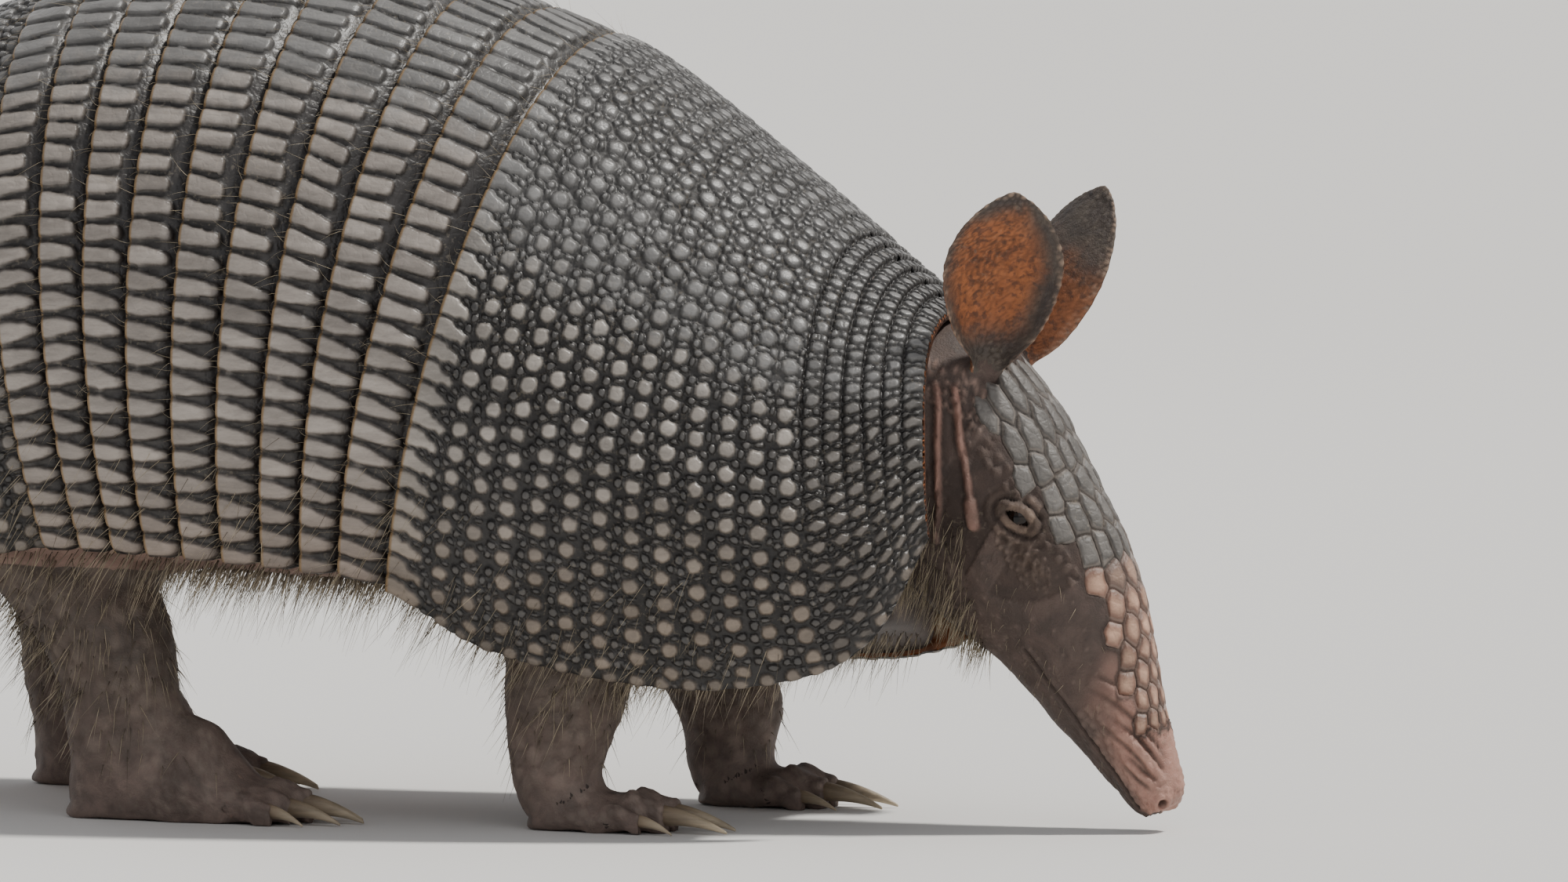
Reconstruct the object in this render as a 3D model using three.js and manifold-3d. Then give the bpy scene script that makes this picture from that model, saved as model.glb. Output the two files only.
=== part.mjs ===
// Nine-banded armadillo (Dasypus novemcinctus), life size, walking with its nose at the ground.
//
// Millimetres, +Z up, +X forward (towards the nose), +Y the animal's left.
// The origin ends up under the middle of the whole animal, on the floor.
//
// The shell is one smooth surface, measured by a station number that runs backwards:
// FRONT_STATION is its front edge, 0 the rear edge of the shoulder shield, 1 to 9 the rear edges
// of the nine bands, and REAR_STATION the rear edge of the hip shield. Round the body the same
// surface is measured by an angle: 0 on the back, RIM_ANGLE at the lower rim.
import * as THREE from 'three';
import { mergeVertices } from 'three/addons/utils/BufferGeometryUtils.js';
import Module from 'manifold-3d';

const wasm = await Module();
wasm.setup();

// ---------------------------------------------------------------- driving sizes

const GAP = 0.35; // clearance between neighbouring solids
const BANDS = 9;
const FRONT_STATION = -7;
const REAR_STATION = 16;
const RIM_ANGLE = THREE.MathUtils.degToRad(120);
const SHELL_THICKNESS = 3;
const BAND_STEP = 1.1; // how far each band's rear edge stands above the next band's front edge
const PLATE_CLEARANCE = 0.016; // half the gap between two plates, in stations
const TRUNK_CLEARANCE = 0.8; // between the inside of the shell and the trunk
const BELLY_FULLNESS = 0.8; // power of the belly's curve: 1 is an ellipse, less is squarer
const FLOOR = 0;

const BODY_SECTORS = 36; // facets round the trunk; the shell uses the same ten-degree steps
const SHELL_SECTORS = 24;
const HEAD_SECTORS = 16;
const LIMB_SECTORS = 10;

// Shell outline: station, back x and z, rim x and z, half width,
// and how far the belly hangs below the rim (less than nothing where it is tucked up).
const SHELL_OUTLINE = [
  [-7, 43, 123, 49, 69, 43.5, 1],
  [-6, 33, 131.5, 38.5, 47, 51, -6],
  [-5, 22, 140.5, 24, 37.5, 57.5, -6],
  [-3, -3, 160, -9, 34.5, 66.5, -5],
  [-1, -28, 178.5, -52, 43, 72.5, -1],
  [0, -42, 186, -75, 56, 74.5, 3],
  [3, -89, 201.5, -105, 61, 77, 6],
  [6, -136, 206, -134, 63, 78, 6],
  [9, -179, 200, -160, 64, 77.5, 6],
  [12, -222, 178, -196, 62, 72, 7],
  [14, -249, 151, -230, 66, 58, 6],
  [15, -261, 133, -248, 76, 44, 4],
  [16, -268, 114, -262, 90, 24, 2],
];
const FRONT_EDGE_BULGE = 3; // the front edge is convex forwards at mid height

// Head and neck: a spine from the nose up and back, as distance along it and x, z,
// then the depth above and below it and the half width at each distance.
const HEAD_SPINE = [
  [0, 94, 5],
  [30, 80.5, 31.8],
  [60, 66.5, 58.3],
  [85, 50.5, 77.2],
  [97.5, 40, 84],
  [110.3, 28, 88.4],
  [139, 0, 94],
];
const HEAD_SECTIONS = [
  [0, 4.4, 4.2, 4.6],
  [2.5, 7.4, 5.8, 6.8],
  [12, 9.6, 8.6, 8.2],
  [26, 13.3, 13.2, 10.4],
  [42, 17.8, 18, 13.4],
  [58, 21.3, 23.5, 16.6],
  [70, 23.4, 26.5, 19.4],
  [85, 28.2, 27.5, 22],
  [98, 34.5, 28, 24],
  [109, 32, 32, 31],
  [120, 28, 39, 37],
  [139, 26, 46, 40],
];
const HEAD_END = 98;
const NECK_END = 134;
const CHIN_NARROWING = 0.2;

// Lower jaw: its ends as distance from the nose, and the height of the lip at each, off the spine.
const JAW = { tip: 6.5, corner: 46, lipAtTip: -3.4, lipAtCorner: -9.5 };
const JAW_WEDGE = { depth: 40, width: 60 }; // large enough to reach past the chin and the cheeks

// Head plate, and its half angle: narrow on the snout, widest over the brow, narrow on the crown.
const HEAD_PLATE = { front: 10, rear: 95, thickness: 1.3, meanRadius: 20 };
const HEAD_PLATE_DEGREES = [
  [0, 62],
  [25, 66],
  [55, 60],
  [80, 62],
  [101, 50],
];

const EYE = { along: 73.5, height: 8.2, radius: 3.3, sunk: 2.3 };

// Ears: both have one shape, and the left one leans further forward. Y is outward here.
const EAR = { halfWidth: 14.2, cup: 7, thickness: 1.3 };
const EAR_FACING = new THREE.Vector3(0.55, 0.83, 0);
const EAR_PLACES = {
  right: { base: new THREE.Vector3(56.5, 14, 111), tip: new THREE.Vector3(66, 25, 150) },
  left: { base: new THREE.Vector3(54.5, 14, 110.5), tip: new THREE.Vector3(71.5, 25, 150) },
};
// Share of the height, share of the half width, how deeply it is rolled.
const EAR_OUTLINE = [
  [0, 0.36, 1.1],
  [0.15, 0.7, 1.1],
  [0.4, 0.97, 0.9],
  [0.6, 1, 0.7],
  [0.8, 0.76, 0.45],
  [0.93, 0.42, 0.2],
  [1, 0.1, 0.05],
];

// Tail: distance along it, x, y, z and radius. It drops from the shell and lies on the floor.
const TAIL_LINE = [
  [0, -254, 0, 101, 16.5],
  [40, -288, 0, 80, 14.6],
  [90, -326, 1, 47.5, 12],
  [140, -366, 5, 19, 9.4],
  [180, -404, 12, 8.2, 7.6],
  [225, -448, 20, 5.6, 5.6],
  [270, -492, 22, 3.7, 3.7],
  [300, -521, 19, 2.2, 2.2],
];
const TAIL_CUTS = [4, 104, 204, 300];
const TAIL_LENGTHS = 6; // rings of facets in each piece

// Legs. Joints are x of the top, the middle and the ankle, and of the tips of the toes.
// A section is a joint, how far ahead of it, how far inward of the foot, its height, and the
// radius along the body and across it; lengths is how many rings of facets the leg has.
// The heel lies behind the ankle. A foot is place from heel to toes, height and half width.
// Claws run from the outer toe inwards: place across the foot, how far back, length, radius, spread.
const LEGS = {
  fore: {
    joints: {
      right: { top: -34, middle: -38, ankle: -45, toes: -15 },
      left: { top: -34, middle: -36, ankle: -32, toes: -4 },
    },
    reach: 40,
    heel: 11,
    lengths: 5,
    sections: [
      ['top', 0, 3, 62, 19, 14],
      ['middle', 0, 0, 40, 17, 13.5],
      ['ankle', 4, 0, 22, 13, 10.5],
      ['ankle', 2, 0, 7, 10, 9],
    ],
    foot: [
      [0, 8, 6],
      [0.3, 13, 9.5],
      [0.7, 11, 12],
      [1, 6.5, 12],
    ],
    claws: [
      { across: 9.2, setBack: 4, length: 10, radius: 1.8, spread: 0.2 },
      { across: 3.5, setBack: 0, length: 17, radius: 2.7, spread: 0.05 },
      { across: -3.5, setBack: 0, length: 16, radius: 2.7, spread: -0.05 },
      { across: -9.2, setBack: 4, length: 11, radius: 1.9, spread: -0.18 },
    ],
  },
  hind: {
    joints: {
      right: { top: -178, middle: -166, ankle: -152, toes: -104 },
      left: { top: -188, middle: -196, ankle: -200, toes: -152 },
    },
    reach: 45,
    heel: 20,
    lengths: 6,
    sections: [
      ['top', 0, 8, 80, 26, 14],
      ['middle', 0, 2, 60, 22, 15],
      ['ankle', 0, 0, 36, 15.5, 13],
      ['ankle', 1, 0, 12, 13, 11],
    ],
    foot: [
      [0, 12, 6.5],
      [0.3, 26, 10],
      [0.6, 28, 12.5],
      [0.85, 17, 14],
      [1, 8, 13.5],
    ],
    claws: [
      { across: 10.8, setBack: 5, length: 10, radius: 2, spread: 0.22 },
      { across: 5.8, setBack: 2, length: 14, radius: 2.5, spread: 0.1 },
      { across: 0, setBack: 0, length: 15, radius: 2.9, spread: 0 },
      { across: -5.8, setBack: 2, length: 14, radius: 2.5, spread: -0.1 },
      { across: -10.8, setBack: 5, length: 11, radius: 2.1, spread: -0.2 },
    ],
  },
};
const FOOT_TOP_NARROWING = 0.35;
const INSTEP_ROUNDING = 0.3;
const TOE_SLANT = 7; // how far the ends of a foot lean in at the top
const TOE_ROUND = 6; // how far the outer toes stand behind the middle ones
const HEEL_ROUND = 5;
const CLAW_LIFT = 1.3; // clearance below a claw's root
const CLAW_FLATNESS = 0.75;
const CLAW_TAPER = 0.86; // share of the radius lost on the way to the tip
const CLAW_TIP_HEIGHT = 0.2; // height of the tip's middle, as a share of the root's radius

const SKIN = { color: 0x4a3c35, roughness: 0.75, metalness: 0 };
const SHELL = { color: 0x6a6661, roughness: 0.5, metalness: 0 };
const CLAW = { color: 0x8d8069, roughness: 0.4, metalness: 0 };
const EYE_GLOSS = { color: 0x14100e, roughness: 0.08, metalness: 0 };

// ---------------------------------------------------------------- helpers

// Smooth values between the rows of a table, whose first column is the place along it.
function smoothRow(rows, place) {
  const last = rows.length - 1;
  const t = THREE.MathUtils.clamp(place, rows[0][0], rows[last][0]);
  let i = 0;
  while (i < last - 1 && t > rows[i + 1][0]) i += 1;
  const width = rows[i + 1][0] - rows[i][0];
  const u = (t - rows[i][0]) / width;
  const slope = (j, c) => {
    const a = Math.max(j - 1, 0);
    const b = Math.min(j + 1, last);
    return (rows[b][c] - rows[a][c]) / (rows[b][0] - rows[a][0]);
  };
  return rows[i].slice(1).map((start, index) => {
    const c = index + 1;
    const end = rows[i + 1][c];
    const h00 = (1 + 2 * u) * (1 - u) * (1 - u);
    const h10 = u * (1 - u) * (1 - u);
    const h01 = u * u * (3 - 2 * u);
    const h11 = u * u * (u - 1);
    return h00 * start + h10 * width * slope(i, c) + h01 * end + h11 * width * slope(i + 1, c);
  });
}

// Moves every corner of a standard geometry by a rule and joins the corners that coincide.
function mould(geometry, rule) {
  const places = geometry.getAttribute('position');
  for (let i = 0; i < places.count; i += 1) {
    const p = rule(places.getX(i), places.getY(i), places.getZ(i));
    places.setXYZ(i, p.x, p.y, p.z);
  }
  geometry.deleteAttribute('normal');
  geometry.deleteAttribute('uv');
  return mergeVertices(geometry, 1e-4);
}

// A closed tube: rule(along 0..1, angle from the top towards +Y, radius 0..1) gives each corner.
function tube(sectors, lengths, rule) {
  const cylinder = new THREE.CylinderGeometry(1, 1, 1, sectors, lengths);
  return mould(cylinder, (x, y, z) => rule(y + 0.5, Math.atan2(x, z), Math.hypot(x, z)));
}

function toSolid(geometry) {
  const mesh = new wasm.Mesh({
    numProp: 3,
    vertProperties: new Float32Array(geometry.getAttribute('position').array),
    triVerts: new Uint32Array(geometry.index.array),
  });
  return new wasm.Manifold(mesh);
}

function toGeometry(solid) {
  const { vertProperties, triVerts } = solid.getMesh();
  const geometry = new THREE.BufferGeometry();
  geometry.setAttribute('position', new THREE.BufferAttribute(vertProperties, 3));
  geometry.setIndex(new THREE.BufferAttribute(triVerts, 1));
  return geometry;
}

function subtract(geometry, ...cutters) {
  const rest = cutters.reduce((solid, cutter) => solid.subtract(toSolid(cutter)), toSolid(geometry));
  return toGeometry(rest);
}

function intersect(geometry, keeper) {
  return toGeometry(toSolid(geometry).intersect(toSolid(keeper)));
}

const armadillo = new THREE.Group();

function add(name, geometry, finish) {
  geometry.computeVertexNormals();
  const mesh = new THREE.Mesh(geometry, new THREE.MeshStandardMaterial(finish));
  mesh.name = name;
  armadillo.add(mesh);
  return mesh;
}

// The same geometry on the animal's other side.
function mirrored(geometry) {
  const copy = geometry.clone();
  copy.scale(1, -1, 1);
  const corners = copy.index.array;
  for (let i = 0; i < corners.length; i += 3) {
    [corners[i], corners[i + 1]] = [corners[i + 1], corners[i]];
  }
  return copy;
}

// ---------------------------------------------------------------- shell surface

// The frame of one station: section centre, its up direction, half height, half width, belly drop.
function station(k) {
  const [backX, backZ, rimX, rimZ, halfWidth, drop] = smoothRow(SHELL_OUTLINE, k);
  const up = new THREE.Vector3(backX - rimX, 0, backZ - rimZ);
  const height = up.length();
  up.normalize();
  const rimFall = -Math.cos(RIM_ANGLE);
  const halfHeight = height / (1 + rimFall);
  const centre = new THREE.Vector3(rimX, 0, rimZ).addScaledVector(up, rimFall * halfHeight);
  const nearFront = THREE.MathUtils.smoothstep(-k, -FRONT_STATION - 3, -FRONT_STATION);
  return { centre, up, halfHeight, halfWidth, drop, bulge: FRONT_EDGE_BULGE * nearFront };
}

function shellPoint(k, angle, depth) {
  const s = station(k);
  const rise = Math.cos(angle) * (s.halfHeight - depth);
  const p = s.centre.clone().addScaledVector(s.up, rise);
  const level = (Math.cos(angle) - Math.cos(RIM_ANGLE)) / (1 - Math.cos(RIM_ANGLE));
  p.x += s.bulge * Math.sin(Math.PI * THREE.MathUtils.clamp(level, 0, 1));
  p.y = Math.sin(angle) * (s.halfWidth - depth);
  return p;
}

// The trunk inside the shell: the shell's own curve above the rim, a flatter belly below it.
function trunkPoint(k, angle, depth) {
  if (Math.abs(angle) <= RIM_ANGLE + 1e-6) return shellPoint(k, angle, depth);
  const s = station(k);
  const rim = shellPoint(k, RIM_ANGLE, depth);
  const inward = ((Math.abs(angle) - RIM_ANGLE) / (Math.PI - RIM_ANGLE)) * (Math.PI / 2);
  const p = new THREE.Vector3(rim.x, 0, rim.z).addScaledVector(s.up, -s.drop * Math.sin(inward));
  p.y = Math.sign(angle) * rim.y * Math.cos(inward) ** BELLY_FULLNESS;
  return p;
}

// A curved plate of the shell between two stations, closed on all sides.
function shellPlate(front, rear, steps, frontDepth) {
  const box = new THREE.BoxGeometry(1, 1, 1, steps, SHELL_SECTORS, 1);
  return mould(box, (x, y, z) => {
    const k = THREE.MathUtils.lerp(rear, front, x + 0.5);
    const outside = THREE.MathUtils.lerp(0, frontDepth, x + 0.5);
    const depth = z > 0 ? outside : SHELL_THICKNESS;
    return shellPoint(k, y * 2 * RIM_ANGLE, depth);
  });
}

add('scapular_shield', shellPlate(FRONT_STATION, -PLATE_CLEARANCE, 8, 0), SHELL);
for (let band = 1; band <= BANDS; band += 1) {
  const front = band - 1 + PLATE_CLEARANCE;
  add(`band_${band}`, shellPlate(front, band - PLATE_CLEARANCE, 1, BAND_STEP), SHELL);
}
add('pelvic_shield', shellPlate(BANDS + PLATE_CLEARANCE, REAR_STATION, 8, BAND_STEP), SHELL);

// ---------------------------------------------------------------- head and neck

// The spine at a distance back from the nose: its place, its way back and the way to the crown.
function headFrame(t) {
  const [x, z] = smoothRow(HEAD_SPINE, t);
  const [aheadX, aheadZ] = smoothRow(HEAD_SPINE, t + 1);
  const [behindX, behindZ] = smoothRow(HEAD_SPINE, t - 1);
  const back = new THREE.Vector3(aheadX - behindX, 0, aheadZ - behindZ).normalize();
  const crown = new THREE.Vector3(back.z, 0, -back.x);
  return { origin: new THREE.Vector3(x, 0, z), back, crown };
}

// A place in the head or neck: distance from the nose, angle from the crown, share of the radius.
function headPoint(t, angle, radius, grow = 0) {
  const { origin, crown } = headFrame(t);
  const [above, below, halfWidth] = smoothRow(HEAD_SECTIONS, t);
  const c = Math.cos(angle);
  const chin = 1 - CHIN_NARROWING * Math.max(0, -c);
  const depth = c > 0 ? above + grow : below + grow;
  const p = origin.clone().addScaledVector(crown, c * depth * radius);
  p.y = Math.sin(angle) * (halfWidth + grow) * chin * radius;
  return p;
}

function headTube(from, to, lengths, grow = 0) {
  return tube(HEAD_SECTORS, lengths, (v, angle, r) => {
    const t = THREE.MathUtils.lerp(from, to, v);
    return headPoint(t, angle, r, grow);
  });
}

// The plate on the crown. With a clearance it is the seat cut for it, open to the outside.
function headPlate(clearance) {
  const box = new THREE.BoxGeometry(1, 1, 1, 8, 8, 1);
  return mould(box, (x, y, z) => {
    const front = HEAD_PLATE.front - clearance;
    const t = THREE.MathUtils.lerp(HEAD_PLATE.rear + clearance, front, x + 0.5);
    const [degrees] = smoothRow(HEAD_PLATE_DEGREES, t);
    const halfAngle = THREE.MathUtils.degToRad(degrees) + clearance / HEAD_PLATE.meanRadius;
    const grow = z > 0 ? 3 * clearance : -HEAD_PLATE.thickness - clearance;
    return headPoint(t, y * 2 * halfAngle, 1, grow);
  });
}

// The lower jaw lies below a plane that rises from its tip to the corner of the mouth.
function jawWedge(clearance) {
  const box = new THREE.BoxGeometry(1, 1, 1);
  return mould(box, (x, y, z) => {
    const t = x > 0 ? JAW.tip - clearance : JAW.corner + clearance;
    const lip = x > 0 ? JAW.lipAtTip : JAW.lipAtCorner;
    const { origin, crown } = headFrame(t);
    const p = origin.addScaledVector(crown, z > 0 ? lip + clearance : -JAW_WEDGE.depth);
    p.y = y * JAW_WEDGE.width;
    return p;
  });
}

function eyeCentre(side, sunk) {
  const { origin, crown } = headFrame(EYE.along);
  const [above, , halfWidth] = smoothRow(HEAD_SECTIONS, EYE.along);
  const p = origin.addScaledVector(crown, EYE.height);
  p.y = side * (halfWidth * Math.sqrt(1 - (EYE.height / above) ** 2) - sunk);
  return p;
}

function eyeBall(side, radius) {
  const ball = new THREE.SphereGeometry(radius, 10, 7);
  const c = eyeCentre(side, EYE.sunk);
  return mould(ball, (x, y, z) => new THREE.Vector3(x + c.x, y + c.y, z + c.z));
}

const headWhole = headTube(0, HEAD_END, 13);
const sockets = [1, -1].map((side) => eyeBall(side, EYE.radius + GAP));
add('head', subtract(headWhole, jawWedge(GAP), headPlate(GAP), ...sockets), SKIN);
add('lower_jaw', intersect(headWhole, jawWedge(0)), SKIN);
add('head_shield', subtract(headPlate(0), ...sockets), SHELL);
add('eye_left', eyeBall(1, EYE.radius), EYE_GLOSS);
add('eye_right', eyeBall(-1, EYE.radius), EYE_GLOSS);

// ---------------------------------------------------------------- ears

// A leaf-shaped cup on the left side: across -1..1, up 0..1, and through its thickness.
function earCup({ base, tip }) {
  const up = tip.clone().sub(base);
  const height = up.length();
  up.normalize();
  const facing = EAR_FACING.clone().addScaledVector(up, -EAR_FACING.dot(up)).normalize();
  const sideways = up.clone().cross(facing);
  return mould(new THREE.BoxGeometry(1, 1, 1, 6, 8, 1), (x, y, z) => {
    const [spread, roll] = smoothRow(EAR_OUTLINE, y + 0.5);
    const across = 2 * x;
    const bowl = EAR.cup * roll * (1 - across * across) * Math.max(spread, 0.5);
    return base.clone()
      .addScaledVector(up, (y + 0.5) * height)
      .addScaledVector(sideways, across * spread * EAR.halfWidth)
      .addScaledVector(facing, -bowl + z * EAR.thickness);
  });
}

const earClearance = [
  headTube(0, NECK_END, 20, GAP),
  shellPlate(FRONT_STATION - 0.05, -5, 4, -GAP),
];
add('ear_left', subtract(earCup(EAR_PLACES.left), ...earClearance), SKIN);
add('ear_right', mirrored(subtract(earCup(EAR_PLACES.right), ...earClearance)), SKIN);

// ---------------------------------------------------------------- trunk and neck

const TRUNK_DEPTH = SHELL_THICKNESS + TRUNK_CLEARANCE;
const TRUNK_FRONT = FRONT_STATION + 2;
const TRUNK_REAR = REAR_STATION - 0.1;

function trunk(front, rear, steps, clearance) {
  return tube(BODY_SECTORS, steps, (v, angle, r) => {
    const k = THREE.MathUtils.lerp(front, rear, v);
    const middle = station(k).centre;
    return trunkPoint(k, angle, TRUNK_DEPTH - clearance).lerp(middle, 1 - r);
  });
}

const neckWhole = headTube(HEAD_END + GAP, NECK_END, 5);
const trunkWhole = trunk(TRUNK_FRONT, TRUNK_REAR, 12, 0);
const trunkCutter = trunk(TRUNK_FRONT - 0.04, TRUNK_REAR, 12, GAP); // clears the front face too
add('neck', subtract(neckWhole, trunkCutter, shellPlate(FRONT_STATION, -3, 5, 0)), SKIN);

// ---------------------------------------------------------------- tail

function tailFrame(t) {
  const [x, y, z, radius] = smoothRow(TAIL_LINE, t);
  const ahead = new THREE.Vector3(...smoothRow(TAIL_LINE, t + 2));
  const behind = new THREE.Vector3(...smoothRow(TAIL_LINE, t - 2));
  const along = ahead.sub(behind).normalize();
  const side = new THREE.Vector3(0, 0, 1).cross(along).normalize().negate();
  const top = side.clone().cross(along);
  return { origin: new THREE.Vector3(x, y, z), along, side, top, radius };
}

function tailLength(from, to) {
  return tube(LIMB_SECTORS, TAIL_LENGTHS, (v, angle, r) => {
    const { origin, side, top, radius } = tailFrame(THREE.MathUtils.lerp(from, to, v));
    const p = origin
      .addScaledVector(top, Math.cos(angle) * radius * r)
      .addScaledVector(side, Math.sin(angle) * radius * r);
    p.z = Math.max(p.z, FLOOR);
    return p;
  });
}

const rump = shellPlate(REAR_STATION - 4, REAR_STATION + PLATE_CLEARANCE, 4, -GAP);
add('tail_base', subtract(tailLength(TAIL_CUTS[0], TAIL_CUTS[1]), trunkCutter, rump), SHELL);
add('tail_middle', tailLength(TAIL_CUTS[1] + GAP, TAIL_CUTS[2]), SHELL);
add('tail_tip', tailLength(TAIL_CUTS[2] + GAP, TAIL_CUTS[3]), SHELL);

// ---------------------------------------------------------------- legs

// A limb: a tube through joints given as x, y, z, radius along the body, radius across it.
function limb(joints, lengths) {
  const rows = joints.map((joint, i) => [i, ...joint]);
  const last = rows.length - 1;
  return tube(LIMB_SECTORS, lengths, (v, angle, r) => {
    const [x, y, z, along, across] = smoothRow(rows, v * last);
    return new THREE.Vector3(
      x + Math.cos(angle) * along * r,
      y - Math.sin(angle) * across * r,
      z,
    );
  });
}

// A foot: a rounded wedge on a flat sole. Its rows are place from heel to toes, height, half width.
function foot(heel, toes, y, rows, grow = 0) {
  const box = new THREE.BoxGeometry(1, 1, 1, 5, 4, 2);
  return mould(box, (bx, by, bz) => {
    const forward = bx + 0.5;
    const aside = 2 * by;
    const up = bz + 0.5;
    const [height, halfWidth] = smoothRow(rows, forward);
    const edge = aside * (halfWidth + grow) * (1 - FOOT_TOP_NARROWING * up * up);
    const top = (height + grow) * (1 - INSTEP_ROUNDING * aside ** 2);
    const rounding = aside ** 2 * (HEEL_ROUND * (1 - forward) ** 3 - TOE_ROUND * forward ** 3);
    const place = THREE.MathUtils.lerp(heel, toes, forward) + rounding - TOE_SLANT * up * bx;
    return new THREE.Vector3(place, y + edge, FLOOR + up * top);
  });
}

// A claw: a tapering curved spike that runs from a toe down to the floor.
function claw(x, y, { length, radius, spread }) {
  const z = radius + CLAW_LIFT;
  return tube(6, 2, (v, angle, r) => {
    const thick = radius * (1 - CLAW_TAPER * v) * r;
    const fall = (z - radius * CLAW_TIP_HEIGHT) * v * v;
    return new THREE.Vector3(
      x + length * v * Math.cos(spread),
      y + length * v * Math.sin(spread) - Math.sin(angle) * thick * CLAW_FLATNESS,
      Math.max(z - fall + Math.cos(angle) * thick, FLOOR),
    );
  });
}

// One leg with its foot and claws; sign is +1 on the animal's left.
function addLeg(kind, side, sign) {
  const { joints, reach, heel, lengths, sections, foot: footRows, claws } = LEGS[kind];
  const joint = joints[side];
  const middle = sign * reach;
  const back = joint.ankle - heel;
  const footCutter = foot(back, joint.toes + GAP, middle, footRows, GAP);
  const sleeve = limb(sections.map(([name, ahead, inward, height, along, across]) => (
    [joint[name] + ahead, middle - sign * inward, height, along, across]
  )), lengths);
  add(`${kind}leg_${side}`, subtract(sleeve, trunkCutter, footCutter), SKIN);
  add(`${kind}foot_${side}`, foot(back, joint.toes, middle, footRows), SKIN);
  claws.forEach(({ across, setBack, ...shape }, i) => {
    const spread = sign * shape.spread;
    const blade = claw(joint.toes - setBack, middle + sign * across, { ...shape, spread });
    add(`${kind}claw_${side}_${i + 1}`, subtract(blade, footCutter), CLAW);
  });
}

for (const [side, sign] of [['right', -1], ['left', 1]]) {
  addLeg('fore', side, sign);
  addLeg('hind', side, sign);
}

add('trunk', trunkWhole, SKIN);

// The origin is under the middle of the whole animal.
const extent = new THREE.Box3().setFromObject(armadillo);
armadillo.position.x = -(extent.min.x + extent.max.x) / 2;

export default armadillo;
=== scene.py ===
# %% [markdown]
# # A nine-banded armadillo, nose to the ground
#
# The real animal is a soft body in a hard coat: a shoulder shield, nine sliding bands, a hip
# shield, a shield on the head and rings round the tail. The frame loaded here already holds all
# of these as plain solids at their real size. This lesson gives each of them its surface.
# Everything follows one idea: find a smooth surface that agrees with the frame, place the
# scutes, folds or hairs on it by rule, and only then push the mesh in and out.

# %% Load the frame
import math

import bpy
import numpy as np
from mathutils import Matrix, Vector
from mathutils.kdtree import KDTree


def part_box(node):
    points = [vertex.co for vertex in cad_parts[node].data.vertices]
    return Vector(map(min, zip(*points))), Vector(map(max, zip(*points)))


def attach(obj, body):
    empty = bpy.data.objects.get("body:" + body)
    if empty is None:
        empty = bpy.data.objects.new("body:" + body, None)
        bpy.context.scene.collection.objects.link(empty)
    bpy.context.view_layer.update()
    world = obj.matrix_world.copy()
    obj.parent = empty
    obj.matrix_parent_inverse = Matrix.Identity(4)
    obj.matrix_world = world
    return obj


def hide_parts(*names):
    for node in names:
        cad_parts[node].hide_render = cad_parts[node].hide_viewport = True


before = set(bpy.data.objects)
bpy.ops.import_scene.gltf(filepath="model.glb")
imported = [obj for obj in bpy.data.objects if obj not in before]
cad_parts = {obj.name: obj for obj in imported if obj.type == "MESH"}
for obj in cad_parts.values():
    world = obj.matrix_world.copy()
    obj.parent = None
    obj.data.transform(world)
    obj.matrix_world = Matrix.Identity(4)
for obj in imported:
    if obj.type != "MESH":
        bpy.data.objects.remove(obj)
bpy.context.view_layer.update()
MM = 0.001

# %% [markdown]
# ## Two measuring tables
#
# The shell is one smooth surface measured by a station number (how far back) and an angle (how
# far round). The head and neck are a second surface, measured along a bent spine. Both could be
# sculpted, but a table of a few sections with smooth steps between them is easier to change,
# and the solids of the frame were cut from the very same tables, so nothing has to be fitted.

# %% Section tables, in millimetres, with the shoulder at x = 0
BANDS = 9
FRONT_STATION = -7.0
REAR_STATION = 16.0
RIM_ANGLE = math.radians(120)

# station, back x and z, rim x and z, half width, fall of the belly below the rim
SHELL_OUTLINE = np.array([
    [-7, 43, 123, 49, 69, 43.5, 1],
    [-6, 33, 131.5, 38.5, 47, 51, -6],
    [-5, 22, 140.5, 24, 37.5, 57.5, -6],
    [-3, -3, 160, -9, 34.5, 66.5, -5],
    [-1, -28, 178.5, -52, 43, 72.5, -1],
    [0, -42, 186, -75, 56, 74.5, 3],
    [3, -89, 201.5, -105, 61, 77, 6],
    [6, -136, 206, -134, 63, 78, 6],
    [9, -179, 200, -160, 64, 77.5, 6],
    [12, -222, 178, -196, 62, 72, 7],
    [14, -249, 151, -230, 66, 58, 6],
    [15, -261, 133, -248, 76, 44, 4],
    [16, -268, 114, -262, 90, 24, 2],
])
FRONT_EDGE_BULGE = 3.0

# distance back from the nose along the spine, x, z
HEAD_SPINE = np.array([
    [0, 94, 5],
    [30, 80.5, 31.8],
    [60, 66.5, 58.3],
    [85, 50.5, 77.2],
    [97.5, 40, 84],
    [110.3, 28, 88.4],
    [139, 0, 94],
])
# distance back, depth above the spine, depth below it, half width
HEAD_SECTIONS = np.array([
    [0, 4.4, 4.2, 4.6],
    [2.5, 7.4, 5.8, 6.8],
    [12, 9.6, 8.6, 8.2],
    [26, 13.3, 13.2, 10.4],
    [42, 17.8, 18, 13.4],
    [58, 21.3, 23.5, 16.6],
    [70, 23.4, 26.5, 19.4],
    [85, 28.2, 27.5, 22],
    [98, 34.5, 28, 24],
    [109, 32, 32, 31],
    [120, 28, 39, 37],
    [139, 26, 46, 40],
])


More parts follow.
